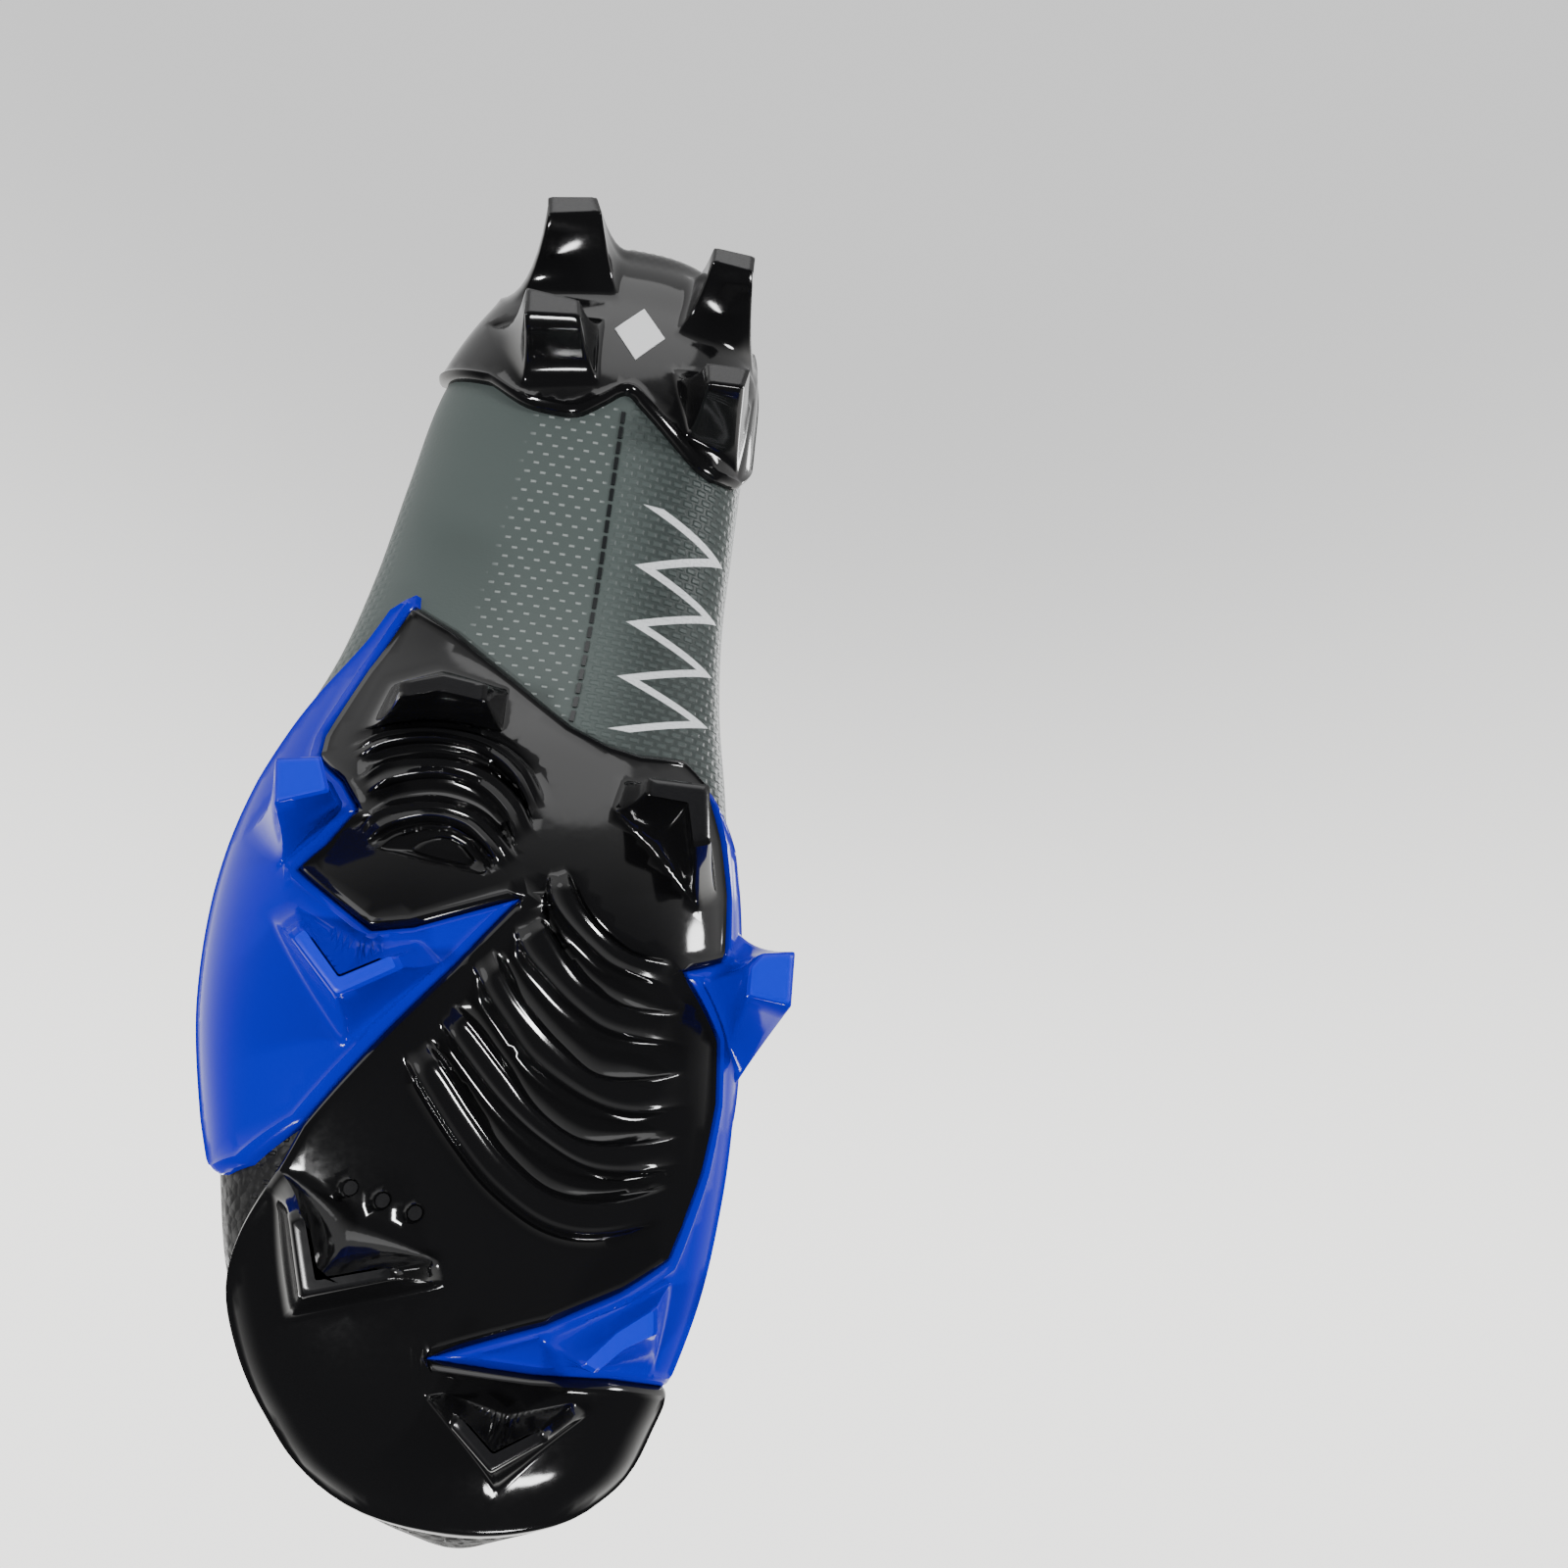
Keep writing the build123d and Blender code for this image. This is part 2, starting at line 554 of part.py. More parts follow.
with BuildPart() as forefoot_foam:
    extrude(between(FOAM_JOINT + STACK_GAP, FOAM[1], -FOAM_INSET), amount=STACK_TOP)
    add(cushion_form, mode=Mode.INTERSECT)
    add(cushion_core, mode=Mode.SUBTRACT)
    extrude(between(*AIR_UNIT, STACK_GAP - AIR_UNIT_INSET), amount=STACK_TOP, mode=Mode.SUBTRACT)
forefoot_foam.part.label = "forefoot_foam"
export_step(forefoot_foam.part, "parts/forefoot_foam.step")

with BuildPart() as air_unit:
    extrude(between(AIR_UNIT[0] + STACK_GAP, AIR_UNIT[1] - STACK_GAP, -AIR_UNIT_INSET),
            amount=STACK_TOP)
    add(cushion_form, mode=Mode.INTERSECT)
    add(cushion_core, mode=Mode.SUBTRACT)
air_unit.part.label = "air_unit"
export_step(air_unit.part, "parts/air_unit.step")

with BuildPart() as sockliner:
    extrude(between(*SOCKLINER, -SOCKLINER_INSET), amount=STACK_TOP)
    add(form(sockliner_face), mode=Mode.INTERSECT)
    add(form(sockliner_depth), mode=Mode.SUBTRACT)
sockliner.part.label = "sockliner"
export_step(sockliner.part, "parts/sockliner.step")

with BuildPart() as toe_puff:
    add(liner_form)
    add(form(liner_face - TOE_PUFF), mode=Mode.SUBTRACT)
    slab(TOE_PUFF_REAR, TOE_FRONT, TOE_PUFF_FLOOR, SKY)
toe_puff.part.label = "toe_puff"
export_step(toe_puff.part, "parts/toe_puff.step")

# ---- heel tab and lace ----
with BuildPart() as pull_tab:
    with BuildSketch(Plane.YZ.offset(HEEL_SIDE - MID_SIDE)):
        with BuildLine():
            Spline(*[(MID_STATION - s, z) for s, z in TAB_LINE])
        trace(line_width=TAB_THICK)
    extrude(amount=TAB_WIDTH / 2, both=True)
    add(collar_binding.part, mode=Mode.SUBTRACT)
    add(whole_upper.part, mode=Mode.SUBTRACT)
    add(heel_lining.part, mode=Mode.SUBTRACT)
pull_tab.part.label = "pull_tab"
export_step(pull_tab.part, "parts/pull_tab.step")


lace_route = []
for row_index, eyelet_station in enumerate(EYELET_STATIONS):
    lace_route += lace_row(eyelet_station, 1 if row_index % 2 == 0 else -1)
with BuildPart() as lace:
    with BuildLine():
        route = Polyline(*lace_route)
    with BuildSketch(Plane(route @ 0, z_dir=route % 0)):
        Circle(LACE_R)
    sweep(transition=Transition.ROUND)
lace.part.label = "lace"
export_step(lace.part, "parts/lace.step")
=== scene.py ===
import math

import bmesh
import bpy
import numpy as np
from mathutils import Matrix, Vector
from mathutils.geometry import delaunay_2d_cdt


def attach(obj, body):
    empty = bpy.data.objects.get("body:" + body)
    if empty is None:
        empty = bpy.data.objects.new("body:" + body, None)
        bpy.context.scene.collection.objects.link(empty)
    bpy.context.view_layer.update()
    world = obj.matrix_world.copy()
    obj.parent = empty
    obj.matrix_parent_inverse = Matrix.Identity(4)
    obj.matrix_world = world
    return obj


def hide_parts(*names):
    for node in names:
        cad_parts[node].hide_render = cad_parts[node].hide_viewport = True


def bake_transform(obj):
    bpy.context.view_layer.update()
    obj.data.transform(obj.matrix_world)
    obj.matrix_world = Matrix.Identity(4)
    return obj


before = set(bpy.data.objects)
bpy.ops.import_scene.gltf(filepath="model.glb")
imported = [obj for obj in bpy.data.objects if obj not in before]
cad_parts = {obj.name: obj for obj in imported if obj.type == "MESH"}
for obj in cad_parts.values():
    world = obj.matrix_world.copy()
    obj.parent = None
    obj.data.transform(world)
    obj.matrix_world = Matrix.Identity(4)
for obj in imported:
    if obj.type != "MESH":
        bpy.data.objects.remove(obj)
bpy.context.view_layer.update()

# ---- the shoe's own places ----
# A place is (station, side): mm forward of the heel, and mm towards the lateral side
# of the line through the arch seam. Heights are mm above the stud tips.
MM = 0.001
PLATE = 2.2
HEEL_END, TOE_END = 0.8, 281.6
MID_STATION = 141.0
MID_SIDE = 6.1
CHART = 48.0              # chart mm for each radian round a section
CAP = 16.0                # chart mm from an end section's rim to its middle
CAP_DEPTH = 1.5           # bulge of the skin past its end sections
EDGE_ROUND = 0.9          # width of the rounded rim of a moulding
EDGE_FALL = 0.9
BEAD, BEAD_PLACE, BEAD_WIDTH = 0.4, 1.3, 0.45   # raised line along a moulding's rim
INSETS = (0.3, 0.6, 0.9, 1.3, 1.7, 2.2)         # rows of mesh along the rim
GRID = 2.2                                      # spacing of mesh points on a flat stretch
OUTLINE_STEP = 1.6                              # spacing of mesh points along a rim
CLEAR = 0.3                                     # least gap between free mesh points and edges
RIB_RISE, RIB_FALL = 1.2, 1.5                   # rib tops above, valleys below the plate
RIB_HOLLOW = 0.25                               # a rib's middle line below its edges
RIB_START, RIB_END = 0.14, 0.2                  # shares of a rib's length that taper off
RIB_SKIRT = 1.5                                 # flat border round a field of ribs
LIP = 0.3                                       # raised line along a rib's edge
# Across a rib's edge: mm inwards from the edge line, share of the rise, share of the lip.
RIB_PROFILE = ((-1.2, 0.0, 0.0), (-0.8, 0.12, 0.0), (-0.55, 0.5, 0.1), (-0.3, 0.9, 0.6),
               (0.0, 1.0, 1.0), (0.3, 1.0, 0.8), (0.6, 1.0, 0.25), (1.0, 1.0, 0.0))
TIP_ROUND = 0.35                                # drop of a stud tip's rounded edge
TIP_RINGS = (0.12, 0.3)                         # mesh rings on a tip, as shares inwards
STUD_STEP = 1.5                                 # spacing of mesh points round a stud
SMOOTH_ANGLE = 48                               # edges sharper than this stay crisp
BEND_START, BEND_END, BEND_HEIGHT = 168.0, 232.0, 14.0
BEND_CUT = 8.0                                  # inner pieces are cut this finely across the flex line

# Sections of the upper: station, lateral half width, medial half width, underside,
# widest line and top heights, squareness of lower lateral, lower medial, upper.
SECTIONS = np.array((
    (0.8, 12.0, 10.0, 27.0, 42.0, 62.0, 2.2, 2.2, 2.2),
    (4.0, 21.0, 18.0, 20.0, 40.0, 78.0, 2.4, 2.4, 1.9),
    (12.0, 30.0, 25.0, 16.2, 37.0, 97.0, 2.7, 2.8, 1.7),
    (28.0, 38.0, 29.0, 15.0, 35.0, 106.0, 2.8, 3.2, 1.7),
    (50.0, 45.5, 30.0, 15.6, 36.0, 109.0, 2.8, 3.2, 1.7),
    (75.0, 49.5, 30.0, 20.5, 39.0, 110.0, 2.6, 2.8, 1.8),
    (98.0, 52.5, 30.0, 25.3, 42.0, 107.0, 2.5, 2.6, 1.9),
    (120.0, 55.0, 31.5, 25.0, 41.0, 98.0, 2.5, 2.5, 2.0),
    (145.0, 59.0, 35.0, 19.0, 37.0, 86.0, 2.5, 2.7, 2.1),
    (172.0, 60.0, 38.0, 14.8, 33.0, 74.0, 2.7, 3.3, 2.1),
    (200.0, 56.0, 40.0, 14.0, 31.0, 65.0, 2.9, 3.5, 2.1),
    (226.0, 47.5, 40.5, 14.5, 31.0, 58.0, 3.0, 3.2, 2.1),
    (246.0, 40.5, 38.0, 16.0, 31.5, 53.5, 2.9, 3.0, 2.1),
    (262.0, 31.0, 32.5, 18.5, 33.0, 50.0, 2.7, 2.8, 2.1),
    (273.0, 20.0, 26.5, 22.5, 34.5, 47.0, 2.5, 2.5, 2.1),
    (279.0, 10.0, 18.5, 27.0, 36.0, 44.5, 2.3, 2.3, 2.1),
    (281.6, 3.0, 10.0, 31.0, 37.0, 42.0, 2.2, 2.2, 2.2),
))


def smooth_columns(station):
    """Section values at any stations, by cubic curves through the named sections."""
    s = np.clip(np.asarray(station, float), HEEL_END, TOE_END)
    knots, values = SECTIONS[:, 0], SECTIONS[:, 1:]
    slopes = np.diff(values, axis=0) / np.diff(knots)[:, None]
    gaps = np.diff(knots)[:, None]
    tangents = np.vstack([slopes[:1],
                          (slopes[1:] * gaps[:-1] + slopes[:-1] * gaps[1:])
                          / (gaps[:-1] + gaps[1:]),
                          slopes[-1:]])
    i = np.clip(np.searchsorted(knots, s, side="right") - 1, 0, len(knots) - 2)
    h = (knots[i + 1] - knots[i])[..., None]
    t = ((s - knots[i])[..., None]) / h
    return ((2 * t**3 - 3 * t**2 + 1) * values[i] + (t**3 - 2 * t**2 + t) * h * tangents[i]
            + (3 * t**2 - 2 * t**3) * values[i + 1] + (t**3 - t**2) * h * tangents[i + 1])


def place3(station, side, height):
    """Row-frame points, in metres, of stations, sides and heights."""
    station, side, height = np.broadcast_arrays(station, side, height)
    return np.stack([side - MID_SIDE, MID_STATION - station, height], -1) * MM


def skin(station, turn, offset=0.0):
    """Shoe points (station, side, height) on the upper's surface moved out by offset.

    turn is the angle round the section: -pi/2 under the foot, 0 lateral, pi medial.
    """
    station, turn, offset = np.broadcast_arrays(
        np.asarray(station, float), np.asarray(turn, float), np.asarray(offset, float))
    past_heel = np.clip((HEEL_END - station) / CAP, 0, 1)
    past_toe = np.clip((station - TOE_END) / CAP, 0, 1)
    past = np.maximum(past_heel, past_toe)
    station = np.clip(station, HEEL_END, TOE_END)
    col = smooth_columns(station)
    heel = np.clip((4.0 - station) / 3.2, 0, 1)
    toe = np.clip((station - 279.0) / 2.6, 0, 1)
    grow = offset * (1 - 0.6 * np.maximum(heel, toe))
    c, s = np.cos(turn), np.sin(turn)
    n = np.where(s > 0, col[..., 7], np.where(c > 0, col[..., 5], col[..., 6]))
    reach = (np.abs(c) ** n + np.abs(s) ** n) ** (-1 / n)
    middle = (col[..., 0] - col[..., 1]) / 2
    half = (col[..., 0] + col[..., 1]) / 2 + grow
    rise = np.where(s > 0, col[..., 4] - col[..., 3], col[..., 3] - col[..., 2]) + grow
    moved = station + offset * (toe - heel)
    moved = moved + CAP_DEPTH * (np.sin(past_toe * np.pi / 2) - np.sin(past_heel * np.pi / 2))
    side = middle + half * c * reach * (1 - past)
    centre = (col[..., 2] + col[..., 4]) / 2
    height = col[..., 3] + rise * s * reach
    return np.stack([moved, side, height + (centre - height) * past], -1)


def turn_at_side(station, side):
    """Angle round the underside at a plan place."""
    col = smooth_columns(station)
    half = (col[..., 0] + col[..., 1]) / 2
    x = np.clip((side - (col[..., 0] - col[..., 1]) / 2) / half, -0.9999, 0.9999)
    n = np.where(x > 0, col[..., 5], col[..., 6])
    return np.arctan2(-(1 - np.abs(x) ** n) ** (1 / n), x)


def turn_at_height(station, height, lateral):
    """Angle round the section at a height on the lateral or medial wall."""
    col = smooth_columns(station)
    up = height > col[..., 3]
    rise = np.where(up, col[..., 4] - col[..., 3], col[..., 3] - col[..., 2])
    z = np.clip((height - col[..., 3]) / rise, -0.9999, 0.9999)
    low = np.where(lateral, col[..., 5], col[..., 6])
    n = np.where(up, col[..., 7], low)
    x = (1 - np.abs(z) ** n) ** (1 / n)
    turn = np.arctan2(z, np.where(lateral, x, -x))
    return np.where((turn > 0) & ~np.asarray(lateral), turn - 2 * np.pi, turn)


def top_turn(station, side):
    """Angle round the top of the section at a plan place."""
    col = smooth_columns(station)
    half = (col[..., 0] + col[..., 1]) / 2
    x = np.clip((side - (col[..., 0] - col[..., 1]) / 2) / half, -0.9999, 0.9999)
    n = col[..., 7]
    return np.arctan2((1 - np.abs(x) ** n) ** (1 / n), x)


# ---- chart: a flat map of the underside, (station, chart mm) ----
def chart(station, side):
    turn = turn_at_side(np.float64(station), np.float64(side))
    return float(station), float((turn + math.pi / 2) * CHART)


def wall(station, height, lateral=True):
    turn = turn_at_height(np.float64(station), np.float64(height), lateral)
    return float(station), float((turn + math.pi / 2) * CHART)


def charts_of(*places):
    return [chart(*place) for place in places]


def chart_skin(points, offset):
    """Shoe points of chart points, moved out from the upper by offset."""
    points = np.asarray(points, float)
    return skin(points[:, 0], points[:, 1] / CHART - math.pi / 2, offset)


def divide(points, step, closed=True):
    """A polyline with its long edges cut into steps."""
    points = [np.asarray(p, float) for p in points]
    out = []
    last = len(points) if closed else len(points) - 1
    for i in range(last):
        a, b = points[i], points[(i + 1) % len(points)]
        count = max(1, int(round(np.linalg.norm(b - a) / step)))
        out += [a + (b - a) * k / count for k in range(count)]
    if not closed:
        out.append(points[-1])
    return np.array(out)


def curve(points, count):
    """A smooth open curve through points (Catmull-Rom), as count + 1 points."""
    p = np.asarray(points, float)
    p = np.vstack([2 * p[0] - p[1], p, 2 * p[-1] - p[-2]])
    spans = len(p) - 3
    t = np.linspace(0, spans, count + 1)
    i = np.minimum(t.astype(int), spans - 1)
    f = (t - i)[:, None]
    a, b, c, d = p[i], p[i + 1], p[i + 2], p[i + 3]
    return 0.5 * (2 * b + (c - a) * f + (2 * a - 5 * b + 4 * c - d) * f**2
                  + (3 * b - a - 3 * c + d) * f**3)


def inside(points, polygon):
    """Which 2-D points lie in a polygon."""
    x, y = points[:, 0], points[:, 1]
    result = np.zeros(len(points), bool)
    j = len(polygon) - 1
    for i in range(len(polygon)):
        xi, yi = polygon[i]
        xj, yj = polygon[j]
        crosses = (yi > y) != (yj > y)
        edge_x = (xj - xi) * (y - yi) / (yj - yi + 1e-12) + xi
        result ^= crosses & (x < edge_x)
        j = i
    return result


def distance(points, segments):
    """Least distance from each 2-D point to a set of segments."""
    best = np.full(len(points), 1e9)
    for a, b in segments:
        ab = b - a
        t = np.clip(((points - a) @ ab) / (ab @ ab + 1e-12), 0, 1)
        best = np.minimum(best, np.linalg.norm(points - (a + t[:, None] * ab), axis=1))
    return best


def rounded_ring(corners, counts, radius):
    """A ring of points round a polygon, each corner cut by three points."""
    ring = []
    size = len(corners)
    for i in range(size):
        before, here, after = corners[i - 1], corners[i], corners[(i + 1) % size]
        lead = (before - here) / np.linalg.norm((before - here)[:2])
        leave = (after - here) / np.linalg.norm((after - here)[:2])
        first, last = here + lead * radius, here + leave * radius
        ring += [first, (first + 2 * here + last) / 4, last]
        far = after - leave * radius
        ring += [last + (far - last) * k / counts[i] for k in range(1, counts[i])]
    return np.array(ring)


def edges_of(loop, closed=True):
    last = len(loop) if closed else len(loop) - 1
    return [(loop[i], loop[(i + 1) % len(loop)]) for i in range(last)]


# ---- meshes ----
def new_object(name, vertices, faces, materials, marked=()):
    """A mesh object; the marked faces get the second material."""
    mesh = bpy.data.meshes.new(name)
    mesh.from_pydata([tuple(v) for v in vertices], [], [tuple(f) for f in faces])
    mesh.update()
    for face in marked:
        mesh.polygons[face].material_index = 1
    obj = bpy.data.objects.new(name, mesh)
    bpy.context.scene.collection.objects.link(obj)
    for material in materials:
        mesh.materials.append(material)
    tidy = bmesh.new()
    tidy.from_mesh(mesh)
    bmesh.ops.remove_doubles(tidy, verts=tidy.verts, dist=2e-6)
    bmesh.ops.recalc_face_normals(tidy, faces=tidy.faces)
    tidy.to_mesh(mesh)
    tidy.free()
    mesh.shade_smooth()
    mesh.set_sharp_from_angle(angle=math.radians(SMOOTH_ANGLE))
    return obj


class Moulding:
    """A moulded plate drawn on the chart: an outline, studs and ridges, then a mesh."""

    def __init__(self, name, outline):
        self.name = name
        self.outline = divide(outline, OUTLINE_STEP)
        self.points = []          # chart points with a set 3-D place
        self.places = []
        self.lines = []           # index pairs that stay edges
        self.closed_areas = []    # chart polygons with no grid points inside
        self.tips = []            # chart polygons of the studs' tip faces
        area = sum(a[0] * b[1] - b[0] * a[1] for a, b in edges_of(self.outline))
        if area < 0:
            self.outline = self.outline[::-1]

    def surface(self, points):
        """Default shoe points of chart points, with the rim rounded off."""
        gap = distance(np.asarray(points, float), edges_of(self.outline))
        fall = np.clip(1 - gap / EDGE_ROUND, 0, 1) ** 2
        bead = np.exp(-((gap - BEAD_PLACE) / BEAD_WIDTH) ** 2)
        return chart_skin(points, PLATE - EDGE_FALL * fall + BEAD * bead)

    def add_rows(self, charts, places):
        """A patch of rows of mesh points: charts and places are (rows, columns, .)."""
        rows, cols = charts.shape[:2]
        base = len(self.points)
        self.points += list(charts.reshape(-1, 2))
        self.places += list(places.reshape(-1, 3))
        for row in range(rows):
            start = base + row * cols
            self.lines += [(start + col, start + col + 1) for col in range(cols - 1)]
        border = np.vstack([charts[0], charts[:, -1], charts[-1][::-1], charts[::-1, 0]])
        self.closed_areas.append(border)

    def ribs(self, pairs, along=46):
        """Flat ribs, each between its rear and front edge curves, with valleys between.

        Curves are (station, side) points that run from the rib's outer tip inwards.
        """
        rows, rises = [], []
        valley = -RIB_FALL / 2
        previous = None
        for rear, front in pairs:
            rear, front = curve(rear, along), curve(front, along)
            gap = front - rear
            unit = gap / np.maximum(np.linalg.norm(gap, axis=1), 1e-6)[:, None]
            if previous is not None:
                for f in (0.3, 0.5, 0.7):
                    rows.append(previous + (rear - previous) * f)
                    rises.append(-RIB_FALL * math.sin(math.pi * f))
            for inwards, share, lip in RIB_PROFILE:
                rows.append(rear + unit * inwards)
                rises.append(valley + (RIB_RISE - valley) * share + LIP * lip)
            rows.append((rear + front) / 2)
            rises.append(RIB_RISE - RIB_HOLLOW)
            for inwards, share, lip in RIB_PROFILE[::-1]:
                rows.append(front - unit * inwards)
                rises.append(valley + (RIB_RISE - valley) * share + LIP * lip)
            previous = front
        skirt = RIB_SKIRT / (RIB_PROFILE[1][0] - RIB_PROFILE[0][0])
        rows.insert(0, rows[0] - (rows[1] - rows[0]) * skirt)
        rises.insert(0, 0.0)
        rows.append(rows[-1] + (rows[-1] - rows[-2]) * skirt)
        rises.append(0.0)
        share = np.linspace(0, 1, along + 1)
        start = np.clip(share / RIB_START, 0, 1)
        end = np.clip((1 - share) / RIB_END, 0, 1)
        taper = (start * start * (3 - 2 * start)) * (end * end * (3 - 2 * end))
        charts = np.array([[chart(*spot) for spot in row] for row in rows])
        places = self.surface(charts.reshape(-1, 2)).reshape(charts.shape[:2] + (3,))
        places[..., 2] -= np.array(rises)[:, None] * taper[None, :]
        self.add_rows(charts, places)

    def stud(self, root, tip, tip_height, flare=1.9, levels=8, shrink=0.3, round_off=0.5):
        """A stud whose flanks sweep from a root outline to a flat tip outline.

        root is a chart polygon; tip has as many (station, side) corners. flare is how
        quickly the flanks narrow above the root, and shrink is the tip's share on the chart.
        """
        root = [np.asarray(p, float) for p in root]
        tip = [np.array((p[0], p[1], tip_height)) for p in tip]
        centre = np.mean(root, axis=0)
        counts = [max(2, int(round(np.linalg.norm(b - a) / STUD_STEP))) for a, b in edges_of(root)]
        ring_root = rounded_ring(root, counts, round_off * 1.6)
        ring_tip = rounded_ring(tip, counts, round_off)
        middle = ring_tip.mean(axis=0)
        foot = self.surface(ring_root)
        charts, places = [], []
        for level in range(levels + 1):
            s = level / levels
            charts.append(ring_root + (centre - ring_root) * s * (1 - shrink))
            spot = foot + (ring_tip - foot) * s
            spot[:, 2] = foot[:, 2] + (ring_tip[:, 2] - foot[:, 2]) * s**flare
            places.append(spot)
        last = charts[-1]
        for inwards in TIP_RINGS:
            charts.append(last + (centre - last) * inwards)
            places.append(places[levels] + (middle - places[levels]) * inwards)
        places[levels] = places[levels] + (0, 0, TIP_ROUND)
        size = len(ring_root)
        base = len(self.points)
        self.points += list(np.concatenate(charts))
        self.places += list(np.concatenate(places))
        for level in (0, levels, levels + 1):
            start = base + level * size
            self.lines += [(start + i, start + (i + 1) % size) for i in range(size)]
        for level in range(levels):
            start = base + level * size
            self.lines += [(start + i, start + size + i) for i in range(size)]
        self.closed_areas.append(ring_root)
        self.tips.append(charts[levels + 1])

    def pip(self, station, side, radius=1.7, rise=0.5):
        """A small round pip standing on the plate."""
        turns = np.linspace(0, 2 * np.pi, 13)[:-1]
        circle = [(station + radius * math.cos(t), side + radius * math.sin(t)) for t in turns]
        inner = [(station + (p - station) * 0.75, side + (q - side) * 0.75) for p, q in circle]
        height = self.surface([chart(station, side)])[0, 2] - rise
        self.stud(charts_of(*circle), inner, height, flare=0.8, levels=3, round_off=0.05)

    def pocket(self, outline, depth):
        """A smooth hollow in the plate."""
        middle = np.mean(outline, axis=0)
        floor = [middle + (np.asarray(p) - middle) * 0.55 for p in outline]
        height = self.surface([chart(*middle)])[0, 2] + depth
        self.stud(charts_of(*outline), floor, height, flare=0.55, levels=6)
        self.tips.pop()

    def free_points(self, fixed):
        """Chart points that fill the flat stretches, clear of the rim and the fixed edges."""
        outline = self.outline
        segments = edges_of(outline)
        along = np.roll(outline, -1, axis=0) - np.roll(outline, 1, axis=0)
        normal = np.stack([-along[:, 1], along[:, 0]], -1)
        normal = normal / (np.linalg.norm(along, axis=1) + 1e-9)[:, None]
        rim = np.vstack([outline + normal * depth for depth in INSETS])
        wanted = np.repeat(INSETS, len(outline))
        rim = rim[(distance(rim, segments) > wanted * 0.9) & inside(rim, outline)]
        low, high = outline.min(0), outline.max(0)
        stations = np.arange(low[0], high[0], GRID)
        arcs = np.arange(low[1], high[1], GRID)
        flat = np.array([(u + (j % 2) * GRID / 2, w) for u in stations for j, w in enumerate(arcs)])
        flat = flat[inside(flat, outline)]
        flat = flat[distance(flat, segments) > INSETS[-1] + 2 * CLEAR]
        free = np.vstack([rim, flat])
        for area in self.closed_areas:
            free = free[~inside(free, area) & (distance(free, edges_of(area)) > CLEAR)]
        if fixed:
            free = free[distance(free, fixed) > CLEAR]
        return free

    def build(self, *materials):
        outline = self.outline
        count = len(outline)
        places = list(self.surface(outline))
        charts = list(outline)
        lines = [(i, (i + 1) % count) for i in range(count)]
        start = len(charts)
        charts += self.points
        places += self.places
        lines += [(a + start, b + start) for a, b in self.lines]
        free = self.free_points([(charts[a], charts[b]) for a, b in lines[count:]])
        charts += list(free)
        places += list(self.surface(free))
        result = delaunay_2d_cdt([Vector(c) for c in charts], lines, [], 0, 1e-4, True)
        verts2, _, faces, orig_verts = result[0], result[1], result[2], result[3]
        verts2 = np.array([tuple(v) for v in verts2])
        made = np.zeros((len(verts2), 3))
        default = self.surface(verts2)
        for i, ids in enumerate(orig_verts):
            made[i] = places[ids[0]] if ids else default[i]
        centres = np.array([verts2[list(f)].mean(0) for f in faces])
        keep = inside(centres, outline)
        faces = [f for f, k in zip(faces, keep) if k]
        centres = centres[keep]
        marked = np.zeros(len(faces), bool)
        if len(materials) > 1:
            for area in self.tips:
                marked |= inside(centres, area)
        spot = {}
        for i, ids in enumerate(orig_verts):
            for j in ids:
                spot[j] = i
        rim = chart_skin(outline, 0.0)
        verts = np.vstack([place3(*made.T), place3(*rim.T)])
        base = len(made)
        for i in range(count):
            j = (i + 1) % count
            faces.append((spot[i], base + i, base + j, spot[j]))
        return new_object(self.name, verts, faces, materials, np.flatnonzero(marked))


def bend(obj):
    """The piece's place is baked into its mesh; the flex line's ends are worked out but nothing uses
    them.
    """
    start = place3(BEND_START, MID_SIDE, BEND_HEIGHT)
    end = place3(BEND_END, MID_SIDE, BEND_HEIGHT)
    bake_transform(obj)


# ---- materials ----
def shader(name, colour, rough, **values):
    """A principled material with plain values set on its sockets."""
    made = bpy.data.materials.new(name)
    made.use_nodes = True
    body = made.node_tree.nodes["Principled BSDF"]
    body.inputs["Base Color"].default_value = (*colour, 1)
    body.inputs["Roughness"].default_value = rough
    for key, value in values.items():
        body.inputs[key.replace("_", " ")].default_value = value
    return made


